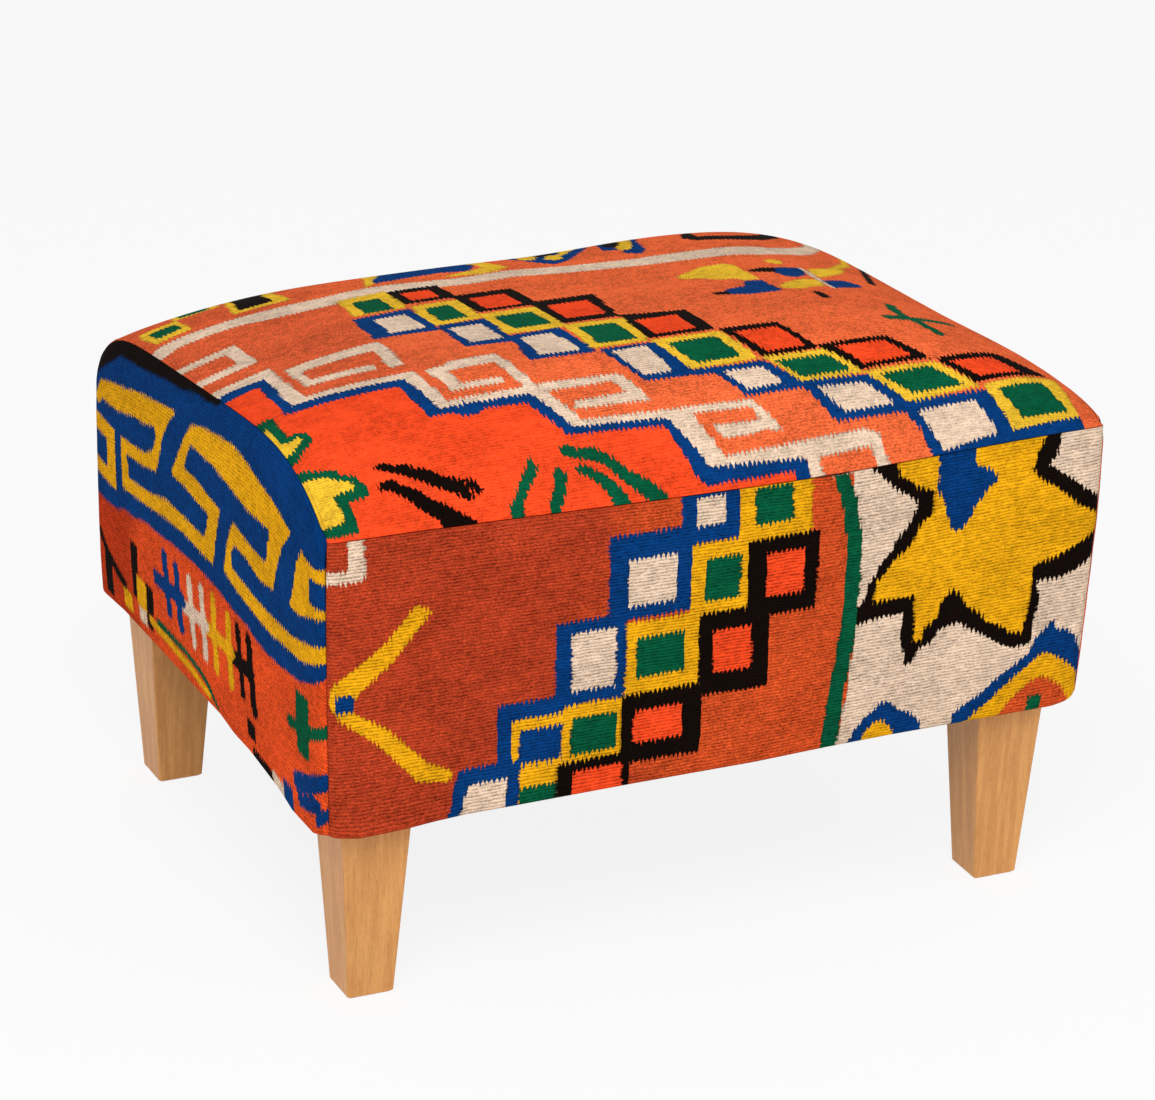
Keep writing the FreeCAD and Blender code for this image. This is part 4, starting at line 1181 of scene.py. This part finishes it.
def swollen(body, panel, pressed):
    """Adds the padding's push, and the cloth's low waves and the puckers along its seams."""
    shares = panel.weave()
    inward = np.clip(shares[..., 2], 0, None)
    if panel.name == TOP:
        outward = np.array([0.0, 0.0, 1.0])
    elif panel.name in (FRONT, BACK):
        outward = np.array([0.0, panel.side, 0.0])
    else:
        outward = np.array([panel.side, 0.0, 0.0])
    u, v = shares[..., 0], shares[..., 1]
    foot = 1 - np.exp(-np.clip(v, 0, None) / 30) if panel.name != TOP else 1.0
    puckers = (np.sin(u / 4.6 + 0.7 * np.sin(v / 23)) + np.sin(u / 7.9 + 1.9) + np.sin(v / 5.3 + 0.4)) * 0.16
    puckers = puckers * np.exp(-inward / 11) * (1 - np.exp(-inward / 2.5))
    waves = np.sin(u / 41 + 1.3) * np.sin(v / 37 + 0.4) + 0.6 * np.sin(u / 23 + v / 31 + 2.1)
    waves = waves * 0.45 * (1 - np.exp(-inward / 18))
    if panel.name == FRONT:
        waves = waves + front_pleat(*np.moveaxis(panel.flat / MM, -1, 0))
    panel.points = panel.points + ((puckers + waves) * foot * MM)[..., None] * outward
    if pressed:
        coarse, moves = pressed[panel.name]
        push = blended(moves, coarse.columns[0], coarse.rows[0], panel.u, panel.v)
        push = softened(push, 8)
        size = np.linalg.norm(push, axis=-1, keepdims=True)
        most = body.sizes.puff * (0.5 if panel.name == TOP else 1.0)
        panel.points = panel.points + push * most * np.tanh(size / most) / np.maximum(size, 1e-9)


# The stool's pieces

# What the kilim's cut pieces have over the panels, in width and in length
CUT_MARGINS = (20 * MM, 6 * MM)
# How far the wadding's and the foam's faces lie inside the cover's
WADDING_INSET = 3.4 * MM
FOAM_INSET = 11.9 * MM
# How far the wadding's lower edge lies over its node's
WADDING_FOOT = 10.5 * MM
# Length over which a crosswise strap rises over a lengthwise one
STRAP_SLOPE = 14.7 * MM
# How far the dust cloth hangs down in its middle
DUST_DROOP = 3 * MM


class StoolStep:
    """What the steps share."""
    bl_options = {"REGISTER", "UNDO"}

    @classmethod
    def poll(cls, context):
        return context.scene is not None


class KILIM_OT_cover_panels(StoolStep, bpy.types.Operator):
    """Sews the five kilim panels of the cover"""
    bl_idname = "kilim_stool.cover_panels"
    bl_label = "Cover Panels"

    def execute(self, context):
        sizes = context.scene.stool_sizes
        dyes = context.scene.kilim_dyes
        body = Body()
        long_cloth = kilim_material("kilim_long_sides", dyes.brick_front, dyes.brick_front_dark, dyes.yellow,
                                    0.50, (-160, 10))
        end_cloth = kilim_material("kilim_ends", dyes.brick_end, dyes.brick_end_dark, dyes.yellow,
                                   0.30, (190, 90))
        top_cloth = kilim_material("kilim_top", dyes.brick_top, dyes.brick_top_dark, dyes.yellow_top,
                                   0.24, (-280, -60))
        plans = {
            FRONT: (long_cloth, FRONT_MOTIFS, FRONT_LINES),
            BACK: (long_cloth, mirrored(FRONT_MOTIFS, 0), mirrored(FRONT_LINES, 0)),
            LEFT: (end_cloth, END_MOTIFS, END_LINES),
            RIGHT: (end_cloth, mirrored(END_MOTIFS, 24), mirrored(END_LINES, 24)),
            TOP: (top_cloth, TOP_MOTIFS, TOP_LINES),
        }
        pressed = pressed_out(body)
        for name, (cloth, motifs, lines) in plans.items():
            panel = Panel(body, name, sizes.cloth_step, True)
            drawing = Drawing(*panel.drawing_places(body))
            for dye, outline in motifs:
                drawing.fill(dye, outline)
            for dye, width, path in lines:
                drawing.line(dye, width, path)
            panel.fold_in(body)
            cut_area = grid_area(panel.points)
            swollen(body, panel, pressed)
            points = body.round_corners(panel.points)
            piece, order = cloth_grid("kilim_" + name, points, name in (BACK, LEFT))
            store(piece, "weave", panel.weave(), order)
            for dye, field in drawing.fields.items():
                store(piece, dye, field, order)
            piece.data.materials.append(cloth)
            thicken(piece, sizes.cloth_thickness, thin=panel.corner_shares().ravel()[order])
            width = np.ptp(points[..., 1 if name in (LEFT, RIGHT) else 0]) + CUT_MARGINS[0]
            length = panel.rows[0][-1] + panel.rows[1].max() + panel.rows[2].max() + CUT_MARGINS[1]
            cut = (width, length)
            min(cut_area, cut[0] * cut[1])
            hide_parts("cover_" + name)
        return {"FINISHED"}


def padding_form(name, body, inset, foot, cuts, closed):
    """A cube's faces, divided and moved to fill the body above the foot."""
    shape = bmesh.new()
    bmesh.ops.create_cube(shape, size=2)
    bmesh.ops.subdivide_edges(shape, edges=shape.edges, cuts=cuts, use_grid_fill=True)
    if not closed:
        under = [face for face in shape.faces if face.calc_center_median().z < -0.99]
        bmesh.ops.delete(shape, geom=under, context="FACES")
    points = body.inner(np.array([vertex.co for vertex in shape.verts]), inset, foot)
    for vertex, point in zip(shape.verts, points):
        vertex.co = point
    return placed(name, shape)


class KILIM_OT_padding(StoolStep, bpy.types.Operator):
    """Makes the foam pad and the wadding over it"""
    bl_idname = "kilim_stool.padding"
    bl_label = "Padding"

    def execute(self, context):
        sizes = context.scene.stool_sizes
        colours = context.scene.stool_materials
        body = Body()
        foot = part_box("wadding")[0][2] + WADDING_FOOT
        wadding = padding_form("wadding_wrap", body, WADDING_INSET, foot, 56, False)
        wadding.data.materials.append(fibre_material("wadding_fibre", colours.wadding, 1.1, 1.2))
        thicken(wadding, sizes.wadding_thickness)
        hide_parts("wadding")
        foam = padding_form("foam_seat", body, FOAM_INSET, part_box("foam_pad")[0][2], 40, True)
        foam.data.materials.append(fibre_material("foam_cells", colours.foam, 0.9, 0.5))
        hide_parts("foam_pad")
        return {"FINISHED"}


def strip(name, centres, across, columns):
    """A band of cloth along a line of centres, with the given vector from its middle to its edge."""
    shares = np.linspace(-1, 1, columns)
    points = centres[:, None, :] + shares[None, :, None] * across
    return cloth_grid(name, points, False)[0]


class KILIM_OT_webbing(StoolStep, bpy.types.Operator):
    """Weaves the jute straps over the frame"""
    bl_idname = "kilim_stool.webbing"
    bl_label = "Webbing"

    def execute(self, context):
        jute = weave_material("jute_webbing", context.scene.stool_materials.jute, 1.9, 0.5)
        long_boxes = [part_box("webbing_lengthwise_%d" % number) for number in (1, 2, 3, 4)]
        thickness = long_boxes[0][1][2] - long_boxes[0][0][2]
        middle = (long_boxes[0][1][2] + long_boxes[0][0][2]) / 2
        for number, (low, high) in enumerate(long_boxes, 1):
            along = np.linspace(low[0], high[0], 120)
            level = np.full_like(along, middle)
            centres = np.stack([along, np.full_like(along, (low[1] + high[1]) / 2), level], axis=-1)
            width = high[1] - low[1]
            piece = strip("jute_lengthwise_%d" % number, centres, np.array([0, width / 2, 0]), 9)
            self.dress(piece, jute, thickness, width, high[0] - low[0], ["rail_left", "rail_right"])
            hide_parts("webbing_lengthwise_%d" % number)
        for number in (1, 2, 3, 4, 5):
            low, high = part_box("webbing_crosswise_%d" % number)
            step = (high[2] - low[2] - thickness) / 2
            turns = [(low[1], 0.0)]
            for place, (near, far) in enumerate(long_boxes, 1):
                level = step if (number + place) % 2 else -step
                turns += [(near[1] - STRAP_SLOPE, 0.0), (near[1], level)]
                turns += [(far[1], level), (far[1] + STRAP_SLOPE, 0.0)]
            turns.append((high[1], 0.0))
            along = np.linspace(low[1], high[1], 160)
            lift = np.interp(along, *np.array(turns).T)
            centres = np.stack([np.full_like(along, (low[0] + high[0]) / 2), along, middle + lift], axis=-1)
            piece = strip("jute_crosswise_%d" % number, centres, np.array([-(high[0] - low[0]) / 2, 0, 0]), 9)
            run = float(np.linalg.norm(np.diff(centres, axis=0), axis=-1).sum())
            self.dress(piece, jute, thickness, high[0] - low[0], run, ["rail_front", "rail_back"])
            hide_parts("webbing_crosswise_%d" % number)
        return {"FINISHED"}

    def dress(self, piece, jute, thickness, width, length, carriers):
        piece.data.materials.append(jute)
        thicken(piece, thickness, 0.0)


class KILIM_OT_base_cloths(StoolStep, bpy.types.Operator):
    """Lays the hessian over the webbing and the dust cloth under the frame"""
    bl_idname = "kilim_stool.base_cloths"
    bl_label = "Base Cloths"

    def execute(self, context):
        colours = context.scene.stool_materials
        weave = weave_material("hessian_weave", colours.hessian, 1.3, 0.45)
        hessian = self.cloth("hessian", "hessian_cloth", 0.0, weave)
        weave = weave_material("dust_weave", colours.dust_cloth, 0.8, 0.4)
        dust = self.cloth("dust_cover", "dust_cloth", DUST_DROOP, weave)
        return {"FINISHED"}

    def cloth(self, node, name, droop, material):
        low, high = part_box(node)
        x, y = np.meshgrid(np.linspace(low[0], high[0], 120), np.linspace(low[1], high[1], 96))
        middle_x = np.clip(1 - (x / (high[0] * 0.73)) ** 2, 0, 1)
        middle_y = np.clip(1 - (y / (high[1] * 0.70)) ** 2, 0, 1)
        z = (low[2] + high[2]) / 2 - droop * middle_x * middle_y
        piece = cloth_grid(name, np.stack([x, y, z], axis=-1), False)[0]
        piece.data.materials.append(material)
        thicken(piece, high[2] - low[2], 0.0)
        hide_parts(node)
        return piece, (high[1] - low[1], high[0] - low[0])


class KILIM_OT_woodwork(StoolStep, bpy.types.Operator):
    """Finishes the legs, the hidden frame and its fittings"""
    bl_idname = "kilim_stool.woodwork"
    bl_label = "Legs and Frame"

    def execute(self, context):
        colours = context.scene.stool_materials
        frame_wood = []
        for index, axis in enumerate("xyz"):
            wood = wood_material("frame_wood_" + axis, colours.frame_light, colours.frame_dark, index, 0.52)
            frame_wood.append(wood)
        leg_wood = wood_material("leg_wood", colours.leg_light, colours.leg_dark, 2, 0.36)
        zinc = metal_material("zinc_plate", colours.zinc, 0.30)
        wire = metal_material("staple_wire", colours.zinc, 0.22)
        finishes = (
            (("leg_front", "leg_back"), leg_wood),
            (("leg_bolt", "leg_nut", "corner_block_screws"), zinc),
            (("webbing_staples", "hessian_staples", "cover_staples", "dust_cover_staples"), wire),
            (("rail_left", "rail_right", "rail_centre"), frame_wood[1]),
            (("rail_front", "rail_back", "rail_dowels"), frame_wood[0]),
            (("corner_block",), frame_wood[2]),
        )
        for name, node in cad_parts.items():
            for starts, material in finishes:
                if name.startswith(starts) and not node.hide_render:
                    self.paint(node, material)
                    break
            else:
                if not node.hide_render:
                    raise RuntimeError("no finish for the node " + name)
        return {"FINISHED"}

    def paint(self, node, material):
        if not node.material_slots:
            node.data.materials.append(material)
        for place in node.material_slots:
            place.material = material


# The stage, in metres and watts: each lamp's size, power and place, what both face, and the camera
LAMPS = {"key_light": (1.6, 46, (-1.05, -1.75, 2.45)), "fill_light": (1.8, 7, (1.9, -1.5, 1.3))}
LAMP_TARGET = (0, 0, 0.3)
CAMERA_PLACE = (-1.50307, -3.17932, 1.71244)
CAMERA_YAW, CAMERA_PITCH, CAMERA_ROLL = 0.441357, 0.399691, 0.026119
SENSOR_WIDTH, FOCAL_LENGTH = 36, 155.854
# How white the floor shows itself, over its own shaded colour, and the strength of the light from all round
FLOOR_WHITE = 0.87
ROOM_LIGHT = 0.45


def area_lamp(name, size, power, place):
    """A square soft light that faces the stool."""
    lamp = bpy.data.lights.new(name, "AREA")
    lamp.size = size
    lamp.energy = power
    holder = bpy.data.objects.new(name, lamp)
    holder.location = place
    holder.rotation_euler = (Vector(LAMP_TARGET) - Vector(place)).to_track_quat("-Z", "Y").to_euler()
    bpy.context.collection.objects.link(holder)


class KILIM_OT_stage(StoolStep, bpy.types.Operator):
    """Sets the pale floor, the soft lights and the camera"""
    bl_idname = "kilim_stool.stage"
    bl_label = "Stage"

    def execute(self, context):
        scene = context.scene
        scene.view_settings.view_transform = "Standard"
        self.floor(scene.stool_materials.floor)
        self.world(scene)
        for name, (size, power, place) in LAMPS.items():
            area_lamp(name, size, power, place)
        self.camera(scene)
        return {"FINISHED"}

    def floor(self, colour):
        shape = bmesh.new()
        bmesh.ops.create_grid(shape, x_segments=1, y_segments=1, size=12)
        mesh = bpy.data.meshes.new("studio_floor")
        shape.to_mesh(mesh)
        shape.free()
        piece = bpy.data.objects.new("studio_floor", mesh)
        bpy.context.collection.objects.link(piece)
        tree = Tree("studio_floor")
        seen = self.seen(tree)
        plain = tree.node("ShaderNodeBsdfDiffuse", {}, {"Color": opaque(colour)})
        bright = tree.node("ShaderNodeEmission", {}, {"Color": (1, 1, 1, 1), "Strength": 1.0})
        tree.close(tree.node("ShaderNodeMixShader", {}, {0: seen * FLOOR_WHITE, 1: plain, 2: bright}))
        piece.data.materials.append(tree.material)

    def seen(self, tree):
        """One for the rays that show the floor or the world itself, or a reflection of it."""
        rays = [tree.node("ShaderNodeLightPath", {}, {}, ray)
                for ray in ("Is Camera Ray", "Is Glossy Ray", "Is Transmission Ray")]
        return rays[0].most(rays[1]).most(rays[2])

    def world(self, scene):
        scene.world = bpy.data.worlds.new("studio")
        tree = Tree(None, scene.world)
        seen = self.seen(tree)
        glow = tree.node("ShaderNodeBackground", {}, {"Color": (1, 1, 1, 1), "Strength": ROOM_LIGHT})
        white = tree.node("ShaderNodeBackground", {}, {"Color": (1, 1, 1, 1), "Strength": 1.0})
        mixed = tree.node("ShaderNodeMixShader", {}, {0: seen, 1: glow, 2: white})
        tree.close(mixed, "ShaderNodeOutputWorld")

    def camera(self, scene):
        lens = bpy.data.cameras.new("camera")
        lens.sensor_fit = "HORIZONTAL"
        lens.sensor_width = SENSOR_WIDTH
        lens.lens = FOCAL_LENGTH
        lens.clip_end = 50
        holder = bpy.data.objects.new("camera", lens)
        turn = Matrix.Rotation(-CAMERA_YAW, 4, "Z") @ Matrix.Rotation(math.pi / 2 - CAMERA_PITCH, 4, "X")
        turn = turn @ Matrix.Rotation(CAMERA_ROLL, 4, "Z")
        holder.matrix_world = Matrix.Translation(Vector(CAMERA_PLACE)) @ turn
        bpy.context.collection.objects.link(holder)
        scene.camera = holder


STEPS = (KILIM_OT_cover_panels, KILIM_OT_padding, KILIM_OT_webbing, KILIM_OT_base_cloths, KILIM_OT_woodwork,
         KILIM_OT_stage)


class KILIM_PT_stool(bpy.types.Panel):
    """The stool's steps, in order"""
    bl_label = "Kilim Stool"
    bl_idname = "KILIM_PT_stool"
    bl_space_type = "VIEW_3D"
    bl_region_type = "UI"
    bl_category = "Kilim Stool"

    def draw(self, context):
        for step in STEPS:
            self.layout.operator(step.bl_idname)


CLASSES = (StoolSizes, KilimDyes, StoolMaterials) + STEPS + (KILIM_PT_stool,)


def register():
    for item in CLASSES:
        bpy.utils.register_class(item)
    bpy.types.Scene.stool_sizes = PointerProperty(type=StoolSizes)
    bpy.types.Scene.kilim_dyes = PointerProperty(type=KilimDyes)
    bpy.types.Scene.stool_materials = PointerProperty(type=StoolMaterials)


def unregister():
    del bpy.types.Scene.stool_materials
    del bpy.types.Scene.kilim_dyes
    del bpy.types.Scene.stool_sizes
    for item in reversed(CLASSES):
        bpy.utils.unregister_class(item)


def main():
    register()
    bpy.ops.kilim_stool.cover_panels()
    bpy.ops.kilim_stool.padding()
    bpy.ops.kilim_stool.webbing()
    bpy.ops.kilim_stool.base_cloths()
    bpy.ops.kilim_stool.woodwork()
    bpy.ops.kilim_stool.stage()


if __name__ == "__main__":
    main()
